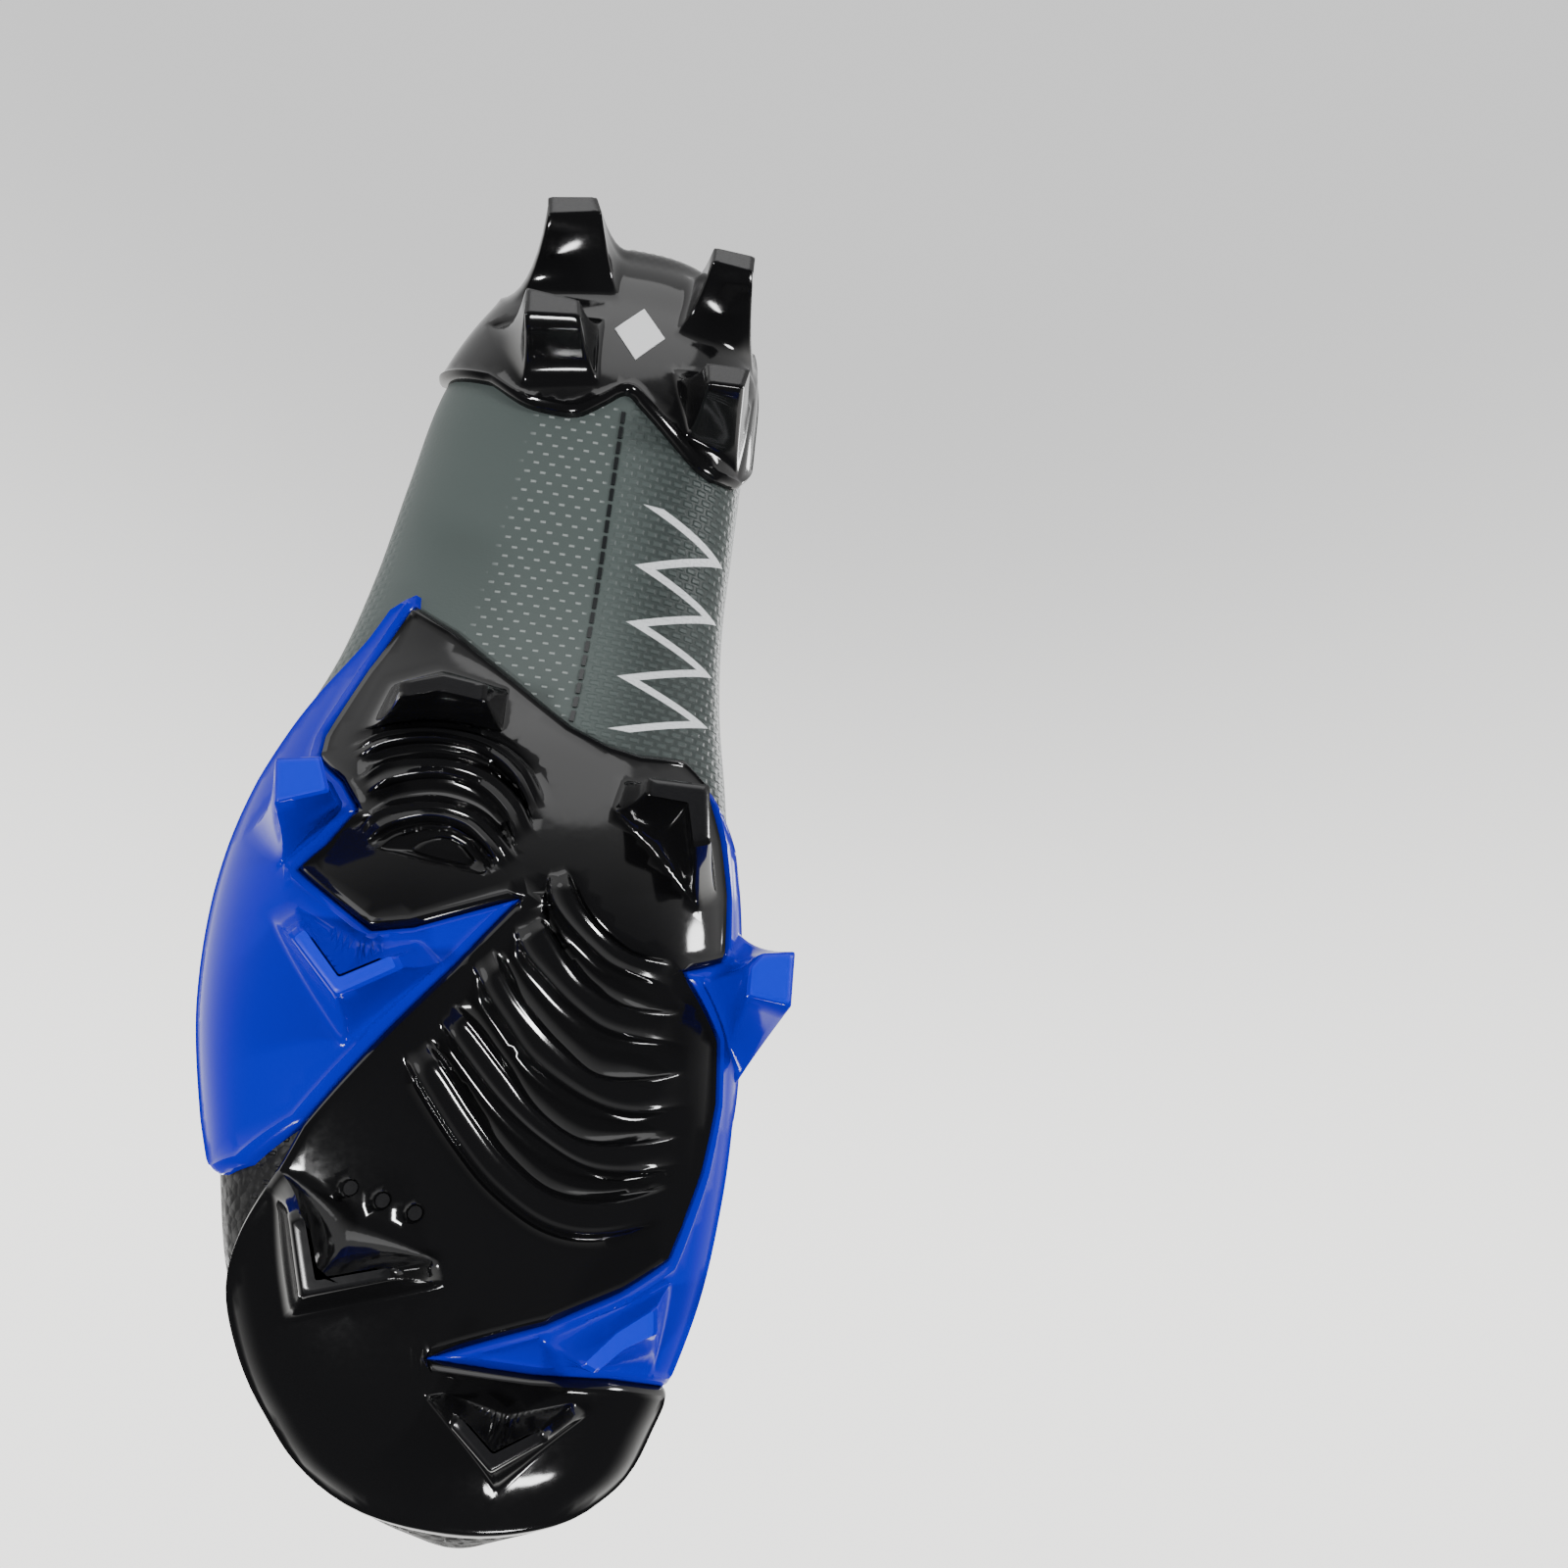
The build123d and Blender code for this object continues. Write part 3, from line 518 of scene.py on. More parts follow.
class Nodes:
    """Short ways to add and join the nodes of a material or world."""

    def __init__(self, made):
        self.tree = made.node_tree
        self.body = self.tree.nodes.get("Principled BSDF")

    def link(self, source, target):
        self.tree.links.new(source, target)

    def math(self, kind, a, b=0.0, c=None, clamp=False):
        node = self.tree.nodes.new("ShaderNodeMath")
        node.operation = kind
        node.use_clamp = clamp
        for socket, value in zip(node.inputs, (a, b, c)):
            if value is None:
                continue
            if isinstance(value, (int, float)):
                socket.default_value = value
            else:
                self.link(value, socket)
        return node.outputs[0]

    def shoe_map(self):
        """Station and arc length from the seam, both in mm."""
        uv = self.tree.nodes.new("ShaderNodeUVMap")
        parts = self.tree.nodes.new("ShaderNodeSeparateXYZ")
        self.link(uv.outputs[0], parts.inputs[0])
        return self.math("MULTIPLY", parts.outputs[0], 100), self.math("MULTIPLY", parts.outputs[1], 100)

    def ramp(self, value, low, high):
        """0 below low, 1 above high, smooth between."""
        node = self.tree.nodes.new("ShaderNodeMapRange")
        node.interpolation_type = "SMOOTHSTEP"
        self.link(value, node.inputs[0])
        node.inputs[1].default_value = low
        node.inputs[2].default_value = high
        return node.outputs[0]

    def band(self, value, low, high, soft):
        """1 between low and high, with soft edges."""
        rise = self.ramp(value, low - soft, low + soft)
        fall = self.ramp(value, high - soft, high + soft)
        return self.math("SUBTRACT", rise, fall, clamp=True)

    def dashes(self, along, across, pitch_along, pitch_across, half_along, half_across, soft=0.12):
        """A staggered field of short dashes, 1 inside each dash."""
        row = self.math("FLOOR", self.math("DIVIDE", along, pitch_along))
        odd = self.math("MULTIPLY", self.math("FLOORED_MODULO", row, 2.0), pitch_across / 2)
        x = self.math("FLOORED_MODULO", along, pitch_along)
        y = self.math("FLOORED_MODULO", self.math("ADD", across, odd), pitch_across)
        dx = self.math("ABSOLUTE", self.math("SUBTRACT", x, pitch_along / 2))
        dy = self.math("ABSOLUTE", self.math("SUBTRACT", y, pitch_across / 2))
        in_x = self.math("SUBTRACT", 1.0, self.ramp(dx, half_along - soft, half_along + soft))
        in_y = self.math("SUBTRACT", 1.0, self.ramp(dy, half_across - soft, half_across + soft))
        return self.math("MULTIPLY", in_x, in_y)

    def mix(self, factor, first, second):
        node = self.tree.nodes.new("ShaderNodeMix")
        node.data_type = "RGBA"
        self.link(factor, node.inputs[0])
        for socket, value in ((node.inputs[6], first), (node.inputs[7], second)):
            if isinstance(value, tuple):
                socket.default_value = (*value, 1)
            else:
                self.link(value, socket)
        return node.outputs[2]

    def noise(self, scale, detail=3.0):
        place = self.tree.nodes.new("ShaderNodeTexCoord")
        node = self.tree.nodes.new("ShaderNodeTexNoise")
        node.inputs["Scale"].default_value = scale
        node.inputs["Detail"].default_value = detail
        self.link(place.outputs["Object"], node.inputs["Vector"])
        return node.outputs["Fac"]

    def bump(self, height, distance_mm, strength=1.0):
        node = self.tree.nodes.new("ShaderNodeBump")
        node.inputs["Strength"].default_value = strength
        node.inputs["Distance"].default_value = distance_mm * MM
        self.link(height, node.inputs["Height"])
        self.link(node.outputs[0], self.body.inputs["Normal"])


def moulded(name, colour, rough, level=0.5):
    """Glossy injection-moulded plastic with a faint flow unevenness."""
    made = shader(name, colour, rough, IOR=1.5, Specular_IOR_Level=level)
    nodes = Nodes(made)
    soft = nodes.noise(120.0, 2.0)
    nodes.bump(soft, 0.05, 0.5)
    fine = nodes.noise(900.0, 2.0)
    nodes.link(nodes.math("MULTIPLY_ADD", fine, 0.06, rough - 0.03), nodes.body.inputs["Roughness"])
    return made


def woven(name, colour, pitch=900.0):
    """A fine knitted or woven cloth; pitch is its threads in a metre."""
    made = shader(name, colour, 0.85, Sheen_Weight=0.3)
    nodes = Nodes(made)
    place = nodes.tree.nodes.new("ShaderNodeTexCoord")
    parts = nodes.tree.nodes.new("ShaderNodeSeparateXYZ")
    nodes.link(place.outputs["Object"], parts.inputs[0])
    warp = nodes.math("SINE", nodes.math("MULTIPLY", parts.outputs[1], pitch * math.tau))
    weft = nodes.math("SINE", nodes.math("MULTIPLY", parts.outputs[2], pitch * math.tau))
    weave = nodes.math("MULTIPLY", warp, weft)
    nodes.bump(weave, 0.15, 0.6)
    nodes.link(nodes.mix(nodes.ramp(weave, -0.6, 0.8), tuple(c * 0.7 for c in colour),
                         tuple(min(1, c * 1.5) for c in colour)), nodes.body.inputs["Base Color"])
    return made


# The upper's film, in mm of station and of arc from the seam (arc is + to the lateral side).
MARK = (2.3, 3.6, 0.28, 0.62)         # short light dashes: pitch and half size, each way
WEAVE = (1.9, 3.0, 0.55, 1.0)         # coarser weave of the walls
MARKS_START, MARKS_WIDTH, MARKS_WIDENING = (1.0, 2.5), 11.5, 0.11
WALL_SHADE_SPAN = 16.0                   # arc over which the medial wall is darkened with painted shade
MEDIAL_WEAVE, LATERAL_WEAVE = (-2.0, -0.6), (46.0, 52.0)
TOE_BLACK = (196.0, 214.0)            # stations where the black toe begins
TOE_SWING, TOE_TURN = 5.0, 0.026      # how the toe's edge slants across the shoe
KNOBS, LEATHER = 560.0, 1500.0        # grains in a metre
ZIGZAG_START, ZIGZAG_END = 78.0, 136.0
ZIGZAG_PITCH, ZIGZAG_REACH = 14.5, 9.0
ZIGZAG_ARC, ZIGZAG_HALF = -10.0, 1.0


def zigzag(nodes, station, arc):
    """1 on a white zigzag line along the medial wall."""
    wave = nodes.math("PINGPONG", nodes.math("SUBTRACT", station, ZIGZAG_START), ZIGZAG_PITCH / 2)
    slope = 4 * ZIGZAG_REACH / ZIGZAG_PITCH
    half = ZIGZAG_HALF * math.hypot(1, slope)
    away = nodes.math("SUBTRACT", arc, nodes.math("MULTIPLY_ADD", wave, -slope, ZIGZAG_ARC))
    line = nodes.math("SUBTRACT", 1.0, nodes.ramp(nodes.math("ABSOLUTE", away), half - 0.5, half))
    return nodes.math("MULTIPLY", line, nodes.band(station, ZIGZAG_START, ZIGZAG_END, 0.2))


def upper_material():
    """The upper's film: grey-green with dashes, weave and zigzag, a black knobbly toe, and painted shade
    darkening the medial wall.
    """
    # The second colour is painted shade for the medial wall.
    grey, painted_wall_shade, black = (0.085, 0.105, 0.10), (0.035, 0.045, 0.043), (0.006, 0.006, 0.0065)
    light, thread, white = (0.36, 0.40, 0.39), (0.11, 0.135, 0.13), (0.80, 0.83, 0.85)
    made = shader("upper_film", grey, 0.4, IOR=1.4, Specular_IOR_Level=0.35)
    nodes = Nodes(made)
    station, arc = nodes.shoe_map()
    # Painted shade: the film turns darker across the medial wall.
    medial_shade_mask = nodes.ramp(nodes.math("MULTIPLY", arc, -1.0), 0.0, WALL_SHADE_SPAN)
    shade = nodes.mix(medial_shade_mask, grey, painted_wall_shade)
    field_end = nodes.math("MULTIPLY_ADD", station, MARKS_WIDENING, MARKS_WIDTH)
    past_field = nodes.ramp(nodes.math("SUBTRACT", arc, field_end), -1.0, 3.0)
    field = nodes.math("SUBTRACT", nodes.ramp(arc, *MARKS_START), past_field, clamp=True)
    marks = nodes.math("MULTIPLY", nodes.dashes(station, arc, *MARK), field)
    shade = nodes.mix(nodes.math("MULTIPLY", marks, 0.75), shade, light)
    medial = nodes.math("SUBTRACT", 1.0, nodes.ramp(arc, *MEDIAL_WEAVE))
    woven_area = nodes.math("ADD", medial, nodes.ramp(arc, *LATERAL_WEAVE), clamp=True)
    weave = nodes.math("MULTIPLY", nodes.dashes(station, arc, *WEAVE, soft=0.25), woven_area)
    shade = nodes.mix(nodes.math("MULTIPLY", weave, 0.35), shade, thread)
    shade = nodes.mix(zigzag(nodes, station, arc), shade, white)
    swing = nodes.math("SINE", nodes.math("MULTIPLY", arc, TOE_TURN))
    toe = nodes.ramp(nodes.math("MULTIPLY_ADD", swing, TOE_SWING, station), *TOE_BLACK)
    shade = nodes.mix(toe, shade, black)
    nodes.link(shade, nodes.body.inputs["Base Color"])
    knobs = nodes.tree.nodes.new("ShaderNodeTexVoronoi")
    place = nodes.tree.nodes.new("ShaderNodeTexCoord")
    nodes.link(place.outputs["Object"], knobs.inputs["Vector"])
    knobs.inputs["Scale"].default_value = KNOBS
    knob_height = nodes.math("MULTIPLY", nodes.math("SUBTRACT", 1.0, knobs.outputs["Distance"]), toe)
    relief = nodes.math("MULTIPLY_ADD", knob_height, 1.4, nodes.math("ADD", marks, weave))
    nodes.bump(nodes.math("MULTIPLY_ADD", nodes.noise(LEATHER), 0.25, relief), 0.28, 0.7)
    nodes.link(nodes.math("MULTIPLY_ADD", toe, 0.06, 0.42), nodes.body.inputs["Roughness"])
    return made


black = moulded("black_moulding", (0.006, 0.006, 0.0065), 0.09)
black_tip = moulded("black_worn_tip", (0.008, 0.008, 0.009), 0.22)
blue = moulded("blue_moulding", (0.0, 0.001, 0.5), 0.14, 0.22)
blue_tip = moulded("blue_worn_tip", (0.001, 0.012, 0.7), 0.35, 0.3)
white_paint = shader("white_inlay", (0.85, 0.86, 0.87), 0.2)
dark_cloth = woven("dark_cloth", (0.02, 0.023, 0.024))
grey_cloth = woven("grey_cloth", (0.06, 0.065, 0.07))
lace_cloth = woven("lace_cloth", (0.012, 0.012, 0.013), 1400.0)
stay_film = shader("stay_film", (0.012, 0.014, 0.015), 0.3)
foam = shader("foam", (0.3, 0.3, 0.32), 0.9)
board_felt = shader("board_felt", (0.6, 0.58, 0.52), 0.9)
stiff_film = shader("stiff_film", (0.5, 0.48, 0.42), 0.6)
clear_film = shader("air_film", (0.6, 0.68, 0.75), 0.15)
upper_film = upper_material()


# ---- camera, light and stage ----
def set_camera():
    """Under the forefoot, looking up at the sole with the heel at the picture's top."""
    eye = Vector((-0.0286, -0.0811, -0.1707))
    target = Vector((-0.0520, -0.0033, 0.0200))
    heelwards = Vector((0.1286, 0.9236, -0.3612))
    forward = (target - eye).normalized()
    right = forward.cross(heelwards).normalized()
    up = right.cross(forward)
    data = bpy.data.cameras.new("camera")
    data.lens = 22.5
    data.sensor_width = 36.0
    data.clip_start = 0.01
    camera = bpy.data.objects.new("camera", data)
    camera.matrix_world = Matrix((right, up, -forward)).transposed().to_4x4()
    camera.location = eye
    bpy.context.scene.collection.objects.link(camera)
    bpy.context.scene.camera = camera


def soft_light(name, eye, target, size, power):
    data = bpy.data.lights.new(name, "AREA")
    data.shape = "ELLIPSE"
    data.size, data.size_y = size
    data.energy = power
    lamp = bpy.data.objects.new(name, data)
    lamp.location = eye
    lamp.rotation_euler = (Vector(target) - Vector(eye)).to_track_quat("-Z", "Y").to_euler()
    lamp.visible_camera = False
    bpy.context.scene.collection.objects.link(lamp)


TOE_ROOM, HEEL_ROOM, DARK_ROOM = (2.5, 2.48, 2.42), (1.0, 1.0, 1.0), (0.06, 0.06, 0.063)


def set_world():
    """A pale room all round; what the sole reflects is darker towards the toe."""
    world = bpy.data.worlds.new("room")
    bpy.context.scene.world = world
    world.use_nodes = True
    nodes = Nodes(world)
    place = nodes.tree.nodes.new("ShaderNodeTexCoord")
    parts = nodes.tree.nodes.new("ShaderNodeSeparateXYZ")
    nodes.link(place.outputs["Generated"], parts.inputs[0])
    heelwards, upwards = parts.outputs[1], parts.outputs[2]
    room = nodes.mix(nodes.ramp(heelwards, -0.1, 0.75), TOE_ROOM, HEEL_ROOM)
    lean = nodes.math("MULTIPLY_ADD", heelwards, 0.85, upwards)
    reflected = nodes.mix(nodes.ramp(lean, -0.75, 0.25), DARK_ROOM, room)
    path = nodes.tree.nodes.new("ShaderNodeLightPath")
    shown = nodes.mix(path.outputs["Is Camera Ray"], reflected, room)
    nodes.link(shown, nodes.tree.nodes["Background"].inputs[0])


def set_floor():
    """The ground under the studs, seen only from above, clear to light from below."""
    made = shader("floor", (0.72, 0.72, 0.73), 0.6)
    nodes = Nodes(made)
    side = nodes.tree.nodes.new("ShaderNodeNewGeometry")
    path = nodes.tree.nodes.new("ShaderNodeLightPath")
    clear = nodes.tree.nodes.new("ShaderNodeBsdfTransparent")
    blend_node = nodes.tree.nodes.new("ShaderNodeMixShader")
    front = nodes.math("SUBTRACT", 1.0, side.outputs["Backfacing"])
    seen = nodes.math("MULTIPLY", front, path.outputs["Is Camera Ray"])
    nodes.link(seen, blend_node.inputs[0])
    nodes.link(clear.outputs[0], blend_node.inputs[1])
    nodes.link(nodes.body.outputs[0], blend_node.inputs[2])
    nodes.link(blend_node.outputs[0], nodes.tree.nodes["Material Output"].inputs[0])
    reach = 3.0
    mesh = bpy.data.meshes.new("floor")
    mesh.from_pydata([(-reach, -reach, 0), (reach, -reach, 0), (reach, reach, 0), (-reach, reach, 0)],
                     [], [(0, 1, 2, 3)])
    mesh.materials.append(made)
    floor = bpy.data.objects.new("floor", mesh)
    bpy.context.scene.collection.objects.link(floor)


def set_stage():
    set_camera()
    set_world()
    set_floor()
    soft_light("under_key", (0.30, -0.25, -0.50), (0, 0, 0.02), (0.10, 0.07), 2.5)
    soft_light("under_fill", (-0.45, 0.20, -0.40), (0, 0, 0.02), (0.08, 0.16), 2.0)
    soft_light("under_toe", (-0.10, -0.60, -0.25), (0, -0.05, 0.02), (0.16, 0.06), 1.6)
    soft_light("under_heel", (0.10, 0.78, -0.72), (0, 0, 0.02), (0.7, 0.45), 1.3)
    soft_light("over_key", (0.5, -0.5, 0.8), (0, 0, 0.04), (0.5, 0.5), 6.0)
    soft_light("over_rim", (-0.6, 0.5, 0.6), (0, 0, 0.04), (0.4, 0.4), 4.0)


set_stage()


# ---- moulded pieces ----
HEEL_FLARE = 2.4          # the heel studs narrow quickly above their roots
HEEL_STUDS = (
    (0.0, ((9, 13), (14, 11), (18, 23), (12, 24)), ((4, 4), (27, 5), (31, 30), (8, 33))),
    (0.0, ((18, -16), (23, -16), (24, -26), (18.5, -26)), ((12, -8), (34, -8), (36, -28.5), (9, -26))),
    (0.0, ((41, 24), (42, 12), (47, 11), (49, 23)), ((36, 34), (33, 7), (53, 6), (57, 23))),
    (0.0, ((53.5, -18), (59.5, -19), (59, -27), (53, -28)),
     ((44, -8), (61, -13.5), (64.5, -27), (39, -28.5))),
)


def heel_sole():
    """Black heel plate with its four blades."""
    front = curve(charts_of((67.8, -22), (66.5, -18), (62.5, -12.5), (55.5, -4), (52.5, 0), (56, 4.5),
                            (60, 10), (60.5, 16), (59.3, 23), (54.5, 31)), 40)
    outline = [*front, wall(48, 29), wall(38, 34), wall(26, 37), wall(10, 36), wall(3, 34),
               (-3.5, 20.0), (-5.2, 0.0), (-3.5, -20.0), wall(3, 34, False), wall(12, 34, False),
               wall(40, 33, False), wall(57, 32, False), wall(66, 27, False)]
    part = Moulding("heel_sole", outline)
    for tip_height, tip, root in HEEL_STUDS:
        part.stud(charts_of(*root), tip, tip_height, flare=HEEL_FLARE)
    made = part.build(black, black_tip)
    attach(made, "shoe")
    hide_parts("heel_plate")


CAGE_EDGE = ((111, 37.4), (118.6, 39.7), (129, 42.6), (140, 44.7), (147, 46), (152, 45.5),
             (157, 39.5), (162.5, 35.3), (170, 38.8), (175.5, 42.8), (181, 34.8), (186, 27),
             (184.5, 20), (177, 3), (190, 11.5), (202, 20), (219, 30.4), (226.3, 38.4), (228.3, 43))
RAIL_EDGE = ((145, -28), (158, -32.3), (170, -34.5), (183.5, -35.3), (187, -28), (190, -30.3),
             (198.5, -35.4), (210, -36.3), (222, -35), (236.5, -31), (241.5, -24), (246.8, -13),
             (252.6, 4.2))
REAR_EDGE = ((111, 37.4), (116.7, 27.5), (128, 12.5), (137.6, 0), (141, -8), (142, -14),
             (140.7, -23), (145, -28))


# Flex ribs: rear and front edge curves, each from its outer tip towards the medial side.
FLEX_RIBS = (
    (((170.5, -3.6), (176, -6.5), (180, -9.8), (183.5, -14), (185.8, -18.5), (186.2, -25.5)),
     ((171.5, -1.6), (176, -2.6), (180, -5.5), (184.5, -10.5), (188, -16), (190, -25.5))),
    (((180.2, -0.5), (184, -3.5), (189, -7.5), (192.5, -11.5), (195.5, -18), (195.3, -28)),
     ((182.3, 2.6), (187, 0), (191, -4), (196, -10), (199.5, -17), (200.3, -29))),
    (((187, 6.3), (192, 3), (197, -1), (203, -7.5), (207.8, -15), (207.6, -23), (205.5, -30)),
     ((189.3, 8.6), (195, 5), (200, 0.8), (206, -5), (211.5, -15), (212.6, -23), (210.5, -31))),
    (((197.6, 10.8), (201, 6.8), (208, 0), (214, -6), (218.6, -14), (218.4, -22), (216.3, -31)),
     ((199.8, 12.2), (205, 7.6), (213, -0.5), (218.5, -8), (222.2, -16), (222.2, -24),
      (220.5, -31.5))),
    (((204.3, 14.3), (209, 9.6), (216, 3.5), (222.5, -3), (227.4, -11), (227.8, -20), (224.5, -31)),
     ((206, 16.6), (212, 12), (220, 5), (226.5, -2), (231.6, -11), (232.2, -20), (228.5, -31.5))),
)
# Ribs round the lens recess, from the lateral side to the medial side.
ARC_RIBS = (
    (((149.5, 40), (145.4, 33), (143.7, 24), (145, 14.5), (150, 7), (158, 2)),
     ((151.2, 38.6), (147.4, 32), (145.7, 24), (147, 15.4), (151.6, 8.6), (159, 3.8))),
    (((157, 36.5), (152.6, 31), (150.8, 22), (152.5, 13.5), (157.5, 7), (164, 3)),
     ((159, 34.6), (155.4, 29), (153.6, 21.5), (155.3, 14), (160, 8.4), (166, 5))),
    (((168, 33.6), (163, 30), (160.4, 22), (161.5, 14.5), (165, 9.5), (170, 5)),
     ((169.4, 31.6), (165.4, 28), (162.9, 21.6), (163.7, 15.5), (166.8, 11), (171.4, 6.6))),
)
# Studs: tip height, tip corners and root corners as (station, side).
BLACK_STUDS = (
    (0.0, ((154.5, -18), (154.5, -29.5), (166, -31), (167, -28), (158.5, -26), (158, -18)),
     ((149, -11), (147.5, -27.5), (171, -32.5), (175, -29), (164, -18), (156, -10))),
    (5.0, ((139.5, 31), (136.5, 23.5), (137.5, 15), (141.5, 14.5), (140.5, 23.5), (143, 30.5)),
     ((131, 38.5), (126, 29), (130.5, 13.5), (142, 12.5), (142.5, 26), (145, 40))),
)
CAGE_STUDS = (
    (0.0, ((158.5, 39.5), (165, 36.5), (168.5, 45), (160, 47)),
     ((152, 49), (162, 38.5), (176, 45.5), (169, 55))),
    (0.0, ((190.5, 37), (200, 27), (194, 17.5), (192, 19), (197, 27.3), (188.8, 35.5)),
     ((184, 46), (207, 26.5), (190, 13.5), (186.5, 18), (188, 28), (181.5, 42))),
)
TOE_STUDS = (
    (5.0, ((233, 27.5), (244, 23), (240.5, 9), (239, 9.8), (241.8, 21.6), (232.2, 25.8)),
     ((229, 33), (250, 27), (242, 2), (238.5, 4), (233, 18), (226.5, 31.5))),
    (7.0, ((259.5, -1.5), (265.5, -9), (261, -17), (259.6, -16), (263.3, -9), (258.2, -2.6)),
     ((257.5, 4), (272, -9), (259, -22), (257.5, -19), (259.5, -9), (257, 1))),
)
FRONT_WEDGE = (7.0, ((242, -31), (246, -25), (251, -20), (252, -22.5), (248.5, -26.5), (246, -31.5)),
               ((239, -32), (243.2, -24.5), (249, -11.5), (252.5, -15), (252.9, -24), (253.5, -30.5)))


def black_sole():
    """Black forefoot and toe plate: flex ridges, lens recess and studs."""
    toe = curve(charts_of((219, 30.4), (225.4, 32.4), (231, 34.8), (238, 36.8), (246.6, 36.4),
                          (254.4, 32.8), (262.5, 27), (270, 20), (276, 10.2), (278.6, -2),
                          (278.6, -11), (275.7, -21.5), (268, -29), (259.4, -32.4), (256, -33)), 60)
    outline = [*charts_of(*REAR_EDGE[:-1]), *charts_of(*RAIL_EDGE), chart(254, -12), chart(254.3, -24),
               *toe[::-1], *charts_of(*CAGE_EDGE[-4:0:-1])]
    part = Moulding("black_sole", outline)
    part.ribs(FLEX_RIBS)
    part.ribs(ARC_RIBS)
    part.pocket(((170.5, 30), (167, 27), (164.6, 22), (164.6, 17), (167, 12), (171.5, 7.5),
                 (173.5, 10), (172.5, 20)), 1.3)
    for pip_place in ((228.5, 21), (230, 15.5), (231.5, 10)):
        part.pip(*pip_place)
    for tip_height, tip, root in BLACK_STUDS + TOE_STUDS:
        part.stud(charts_of(*root), tip, tip_height)
    made = part.build(black, black_tip)
    bend(made)
    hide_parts("forefoot_plate", "toe_plate")


def blue_cage():
    """Blue lateral moulding that climbs the side wall, with two studs."""
    outline = [*charts_of(*CAGE_EDGE), wall(228, 22), wall(220, 23.5), wall(201, 24.5), wall(180, 25),
               wall(156, 26.5), wall(134, 28), wall(120, 29), wall(112, 29), wall(108, 28)]
    part = Moulding("blue_cage", outline)
    for tip_height, tip, root in CAGE_STUDS:
        part.stud(charts_of(*root), tip, tip_height)
    made = part.build(blue, blue_tip)
    bend(made)
    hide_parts("lateral_cage")


def blue_rail():
    """Blue medial moulding with one overhanging stud and the toe wedge."""
    outline = [*charts_of(*RAIL_EDGE), chart(254, -12), chart(254.3, -24), chart(256, -33),
               wall(255.5, 24, False), wall(240, 23, False), wall(214, 23, False),
               wall(204, 26, False), wall(190, 29, False), wall(176, 27, False), wall(158, 27, False)]
    part = Moulding("blue_rail", outline[::-1])
    part.stud([wall(176, 25, False), chart(184.5, -34), chart(188, -31), chart(200, -37.5),
               wall(206, 24, False)],
              ((184, -48), (185, -42), (187.5, -40), (193, -40), (194, -48)), 0.0, shrink=0.35)
    tip_height, tip, root = FRONT_WEDGE
    part.stud(charts_of(*root), tip, tip_height)
    made = part.build(blue, blue_tip)
    bend(made)
    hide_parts("medial_rail", "toe_wedge")


# ---- upper ----
UPPER_THICK = 1.4
ROWS_ROUND = 193                      # mesh points round the upper
COLLAR_FRONT, COLLAR_FALL = 104, 1.0  # where the collar line ends, and the skin below it
HEEL_SEAM_END = 60                    # rearwards of this the top closes on the middle line
SEAM_TURNS, SEAM_CENTRED = 176, 204   # over these stations the top line moves to the middle
COLLAR_LINE = ((-12, 90), (4, 86), (22, 74), (46, 64), (70, 68), (90, 82), (104, 100))
THROAT_SIDE, THROAT_REAR, THROAT_FRONT = 11.3, 96.0, 168.0
THROAT_WIDE, THROAT_NARROW = 15.0, 8.0


def collar_height(stations):
    line = curve(COLLAR_LINE, 200)
    return np.interp(stations, line[:, 0], line[:, 1]) - COLLAR_FALL


def throat_half(station):
    """Half width of the lacing slot, 0 where the upper is closed."""
    straight = np.interp(station, (THROAT_REAR, THROAT_FRONT), (THROAT_WIDE, THROAT_NARROW))
    past = np.clip(station - THROAT_FRONT, 0, THROAT_NARROW)
    nose = np.sqrt(THROAT_NARROW**2 - past**2)
    return np.where(station > THROAT_FRONT, nose, straight)


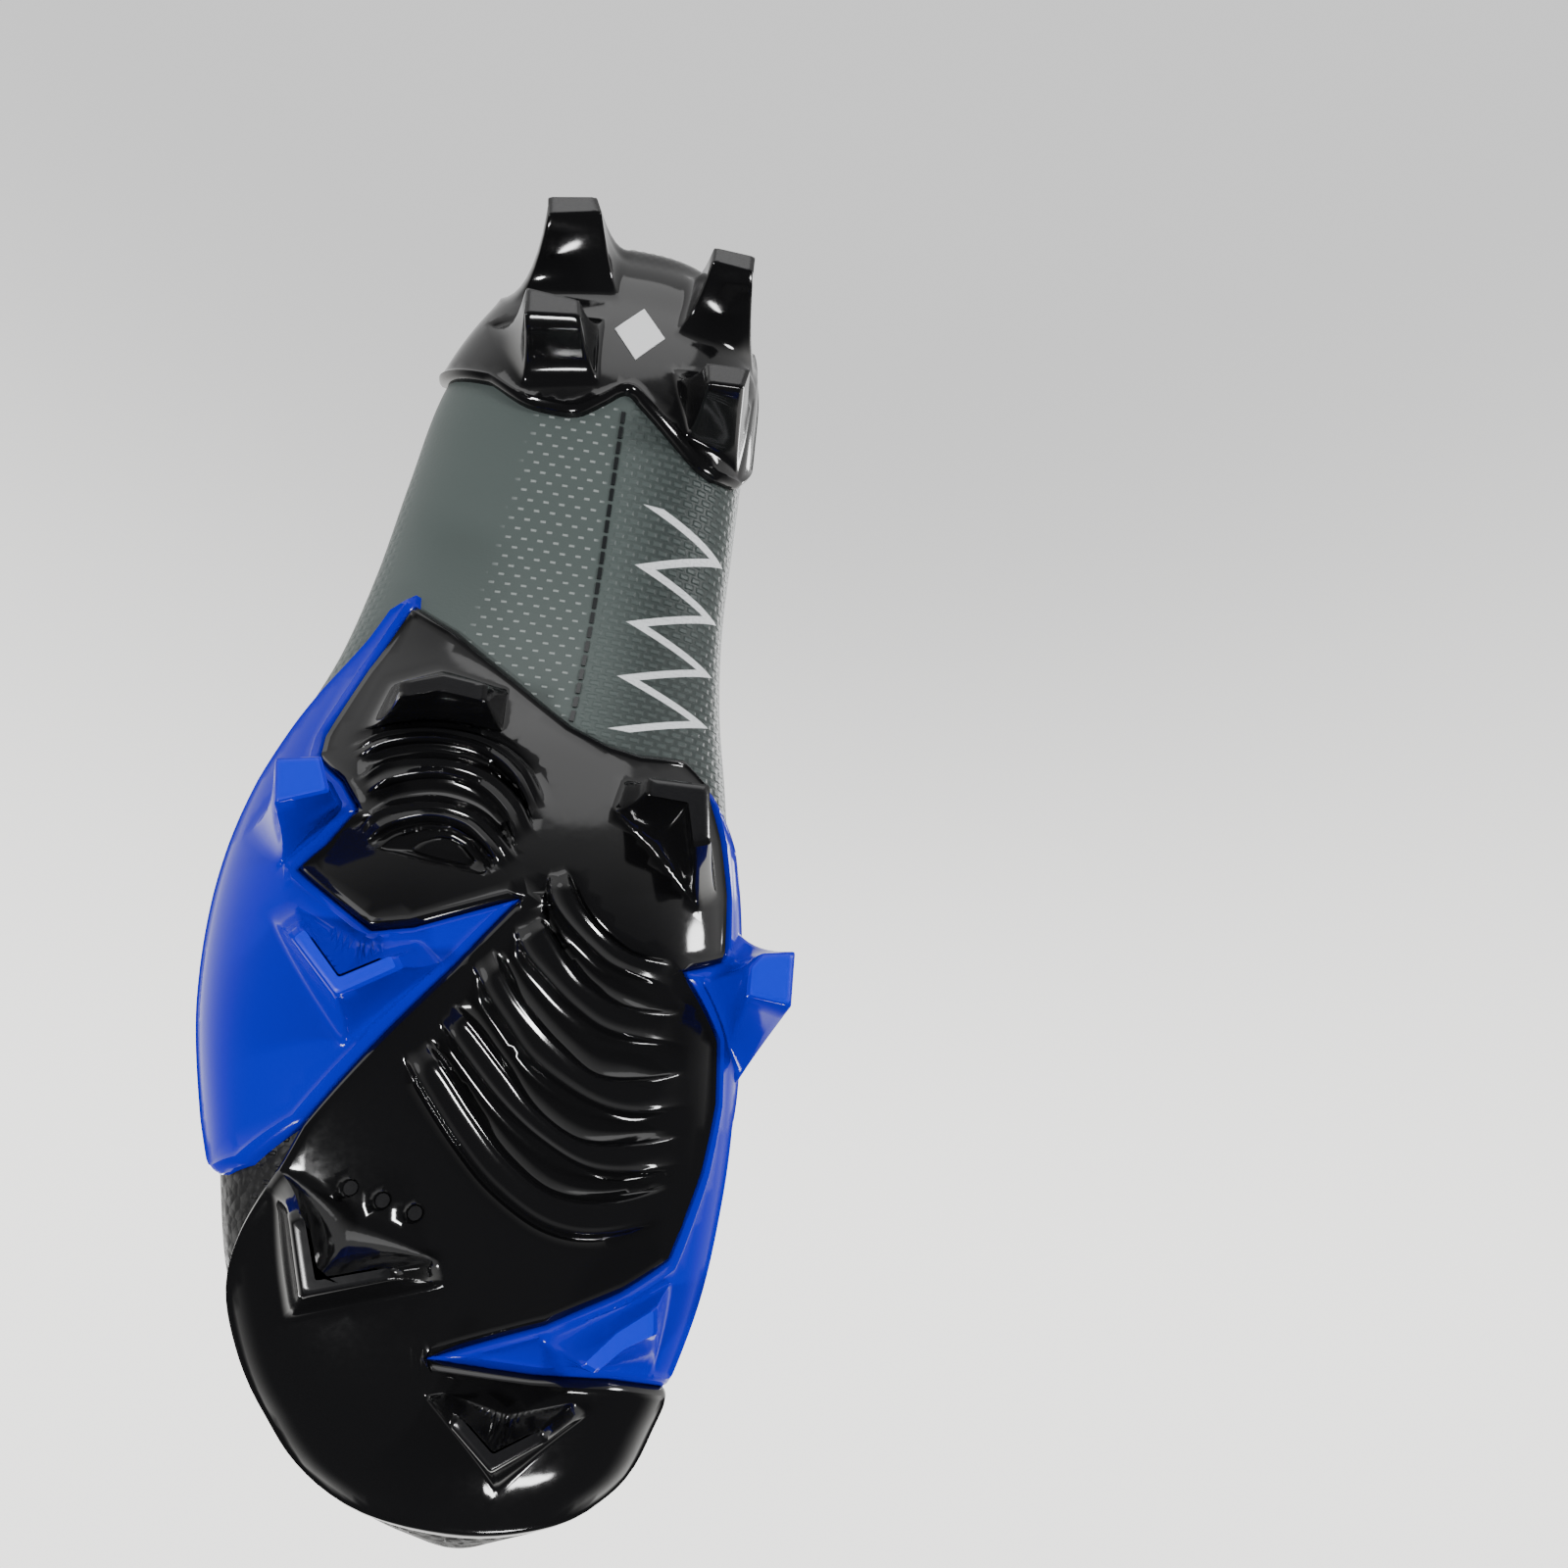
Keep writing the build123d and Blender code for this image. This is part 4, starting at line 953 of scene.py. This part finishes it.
def upper_skin():
    """The one-piece upper, open at the collar and along the lacing."""
    stations = np.concatenate([HEEL_END - CAP * np.linspace(0.999, 0.1, 7),
                               np.linspace(HEEL_END, 12, 16), np.linspace(13, 272, 174),
                               np.linspace(273, TOE_END, 14),
                               TOE_END + CAP * np.linspace(0.1, 0.999, 7)])
    level = np.clip(stations, HEEL_END, TOE_END)
    col = smooth_columns(level)
    middle = (col[:, 0] - col[:, 1]) / 2
    half = throat_half(level)
    fade = np.clip((SEAM_CENTRED - level) / (SEAM_CENTRED - SEAM_TURNS), 0, 1)
    seam = np.where(level > SEAM_TURNS, middle + (THROAT_SIDE - middle) * fade, THROAT_SIDE)
    seam = np.where(level < HEEL_SEAM_END, middle, seam)
    lateral = top_turn(level, seam + half * (level >= THROAT_REAR))
    medial = top_turn(level, seam - half * (level >= THROAT_REAR)) - 2 * np.pi
    cut = collar_height(level)
    open_low = (level < COLLAR_FRONT) & (col[:, 4] > cut + 0.5)
    lateral = np.where(open_low, np.minimum(lateral, turn_at_height(level, cut, True)), lateral)
    low_medial = turn_at_height(level, cut, np.zeros(len(level), bool))
    medial = np.where(open_low, np.maximum(medial, low_medial), medial)
    share = np.linspace(0, 1, ROWS_ROUND)
    turns = medial[:, None] + (lateral - medial)[:, None] * share
    points = skin(stations[:, None], turns, 0.0)
    verts = place3(points[..., 0], points[..., 1], points[..., 2])
    steps = np.linalg.norm(np.diff(verts, axis=1), axis=2) / MM
    arc = np.concatenate([np.zeros((len(stations), 1)), np.cumsum(steps, axis=1)], axis=1)
    for ring, ring_arc, ring_turns in zip(points, arc, turns):
        under = int(np.clip(np.argmin(np.abs(ring_turns + np.pi / 2)), 32, ROWS_ROUND - 64))
        sole = slice(under - 32, under + 64)
        ring_arc -= np.interp(0.0, ring[sole, 1], ring_arc[sole])
    faces, uvs = [], []
    count = len(stations)
    for i in range(count - 1):
        for j in range(ROWS_ROUND - 1):
            quad = ((i, j), (i + 1, j), (i + 1, j + 1), (i, j + 1))
            faces.append([a * ROWS_ROUND + b for a, b in quad])
            uvs += [(points[a, b, 0] / 100, arc[a, b] / 100) for a, b in quad]
    mesh = bpy.data.meshes.new("upper_skin")
    mesh.from_pydata([tuple(v) for v in verts.reshape(-1, 3)], [], faces)
    layer = mesh.uv_layers.new(name="UVMap")
    layer.data.foreach_set("uv", np.array(uvs, np.float32).ravel())
    mesh.materials.append(upper_film)
    made = bpy.data.objects.new("upper_skin", mesh)
    bpy.context.scene.collection.objects.link(made)
    tidy = bmesh.new()
    tidy.from_mesh(mesh)
    bmesh.ops.remove_doubles(tidy, verts=tidy.verts, dist=1e-5)
    bmesh.ops.recalc_face_normals(tidy, faces=tidy.faces)
    tidy.to_mesh(mesh)
    tidy.free()
    mesh.shade_smooth()
    thick = made.modifiers.new("thickness", "SOLIDIFY")
    thick.thickness = UPPER_THICK * MM
    thick.offset = -1.0
    bend(made)
    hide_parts("upper_shell", "toe_box")


# ---- CAD pieces shown as they are ----
def dress_nodes():
    """Materials for the CAD pieces that stay visible."""
    looks = {
        "heel_inlay": white_paint, "arch_stitches": stay_film, "lateral_eyestay": stay_film,
        "medial_eyestay": stay_film, "collar_binding": dark_cloth, "collar_padding": foam,
        "heel_counter": stiff_film, "heel_lining": grey_cloth, "tongue": dark_cloth,
        "strobel_board": board_felt, "heel_foam": foam, "forefoot_foam": foam,
        "air_unit": clear_film, "sockliner": grey_cloth, "pull_tab": dark_cloth,
        "lace": lace_cloth, "toe_puff": stiff_film,
    }
    for name, look in looks.items():
        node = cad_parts[name]
        node.data.materials.clear()
        node.data.materials.append(look)
        node.data.shade_smooth()
        node.data.set_sharp_from_angle(angle=math.radians(35))


# Inner pieces that cross the flex line, with their finishes.
CROSSING = {
    "tongue": "dark_fabric",
    "lateral_eyestay": "dark_trim",
    "medial_eyestay": "dark_trim",
    "strobel_board": "board",
    "forefoot_foam": "foam",
    "air_unit": "air_film",
    "sockliner": "liner_fabric",
}


def bending_copies():
    """Copies of the inner CAD pieces that cross the flex line, cut across it; the originals are hidden.
    """
    for name in CROSSING:
        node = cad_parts[name]
        made = bpy.data.objects.new(f"{name}_bending", node.data.copy())
        bpy.context.scene.collection.objects.link(made)
        cut = bmesh.new()
        cut.from_mesh(made.data)
        for station in np.arange(BEND_START, BEND_END + 1, BEND_CUT):
            spot = place3(station, 0, 0)
            bmesh.ops.bisect_plane(cut, geom=cut.verts[:] + cut.edges[:] + cut.faces[:],
                                   plane_co=tuple(spot), plane_no=(0, 1, 0))
        cut.to_mesh(made.data)
        cut.free()
        bend(made)
        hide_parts(name)


heel_sole()
black_sole()
blue_cage()
blue_rail()
upper_skin()
dress_nodes()
bending_copies()
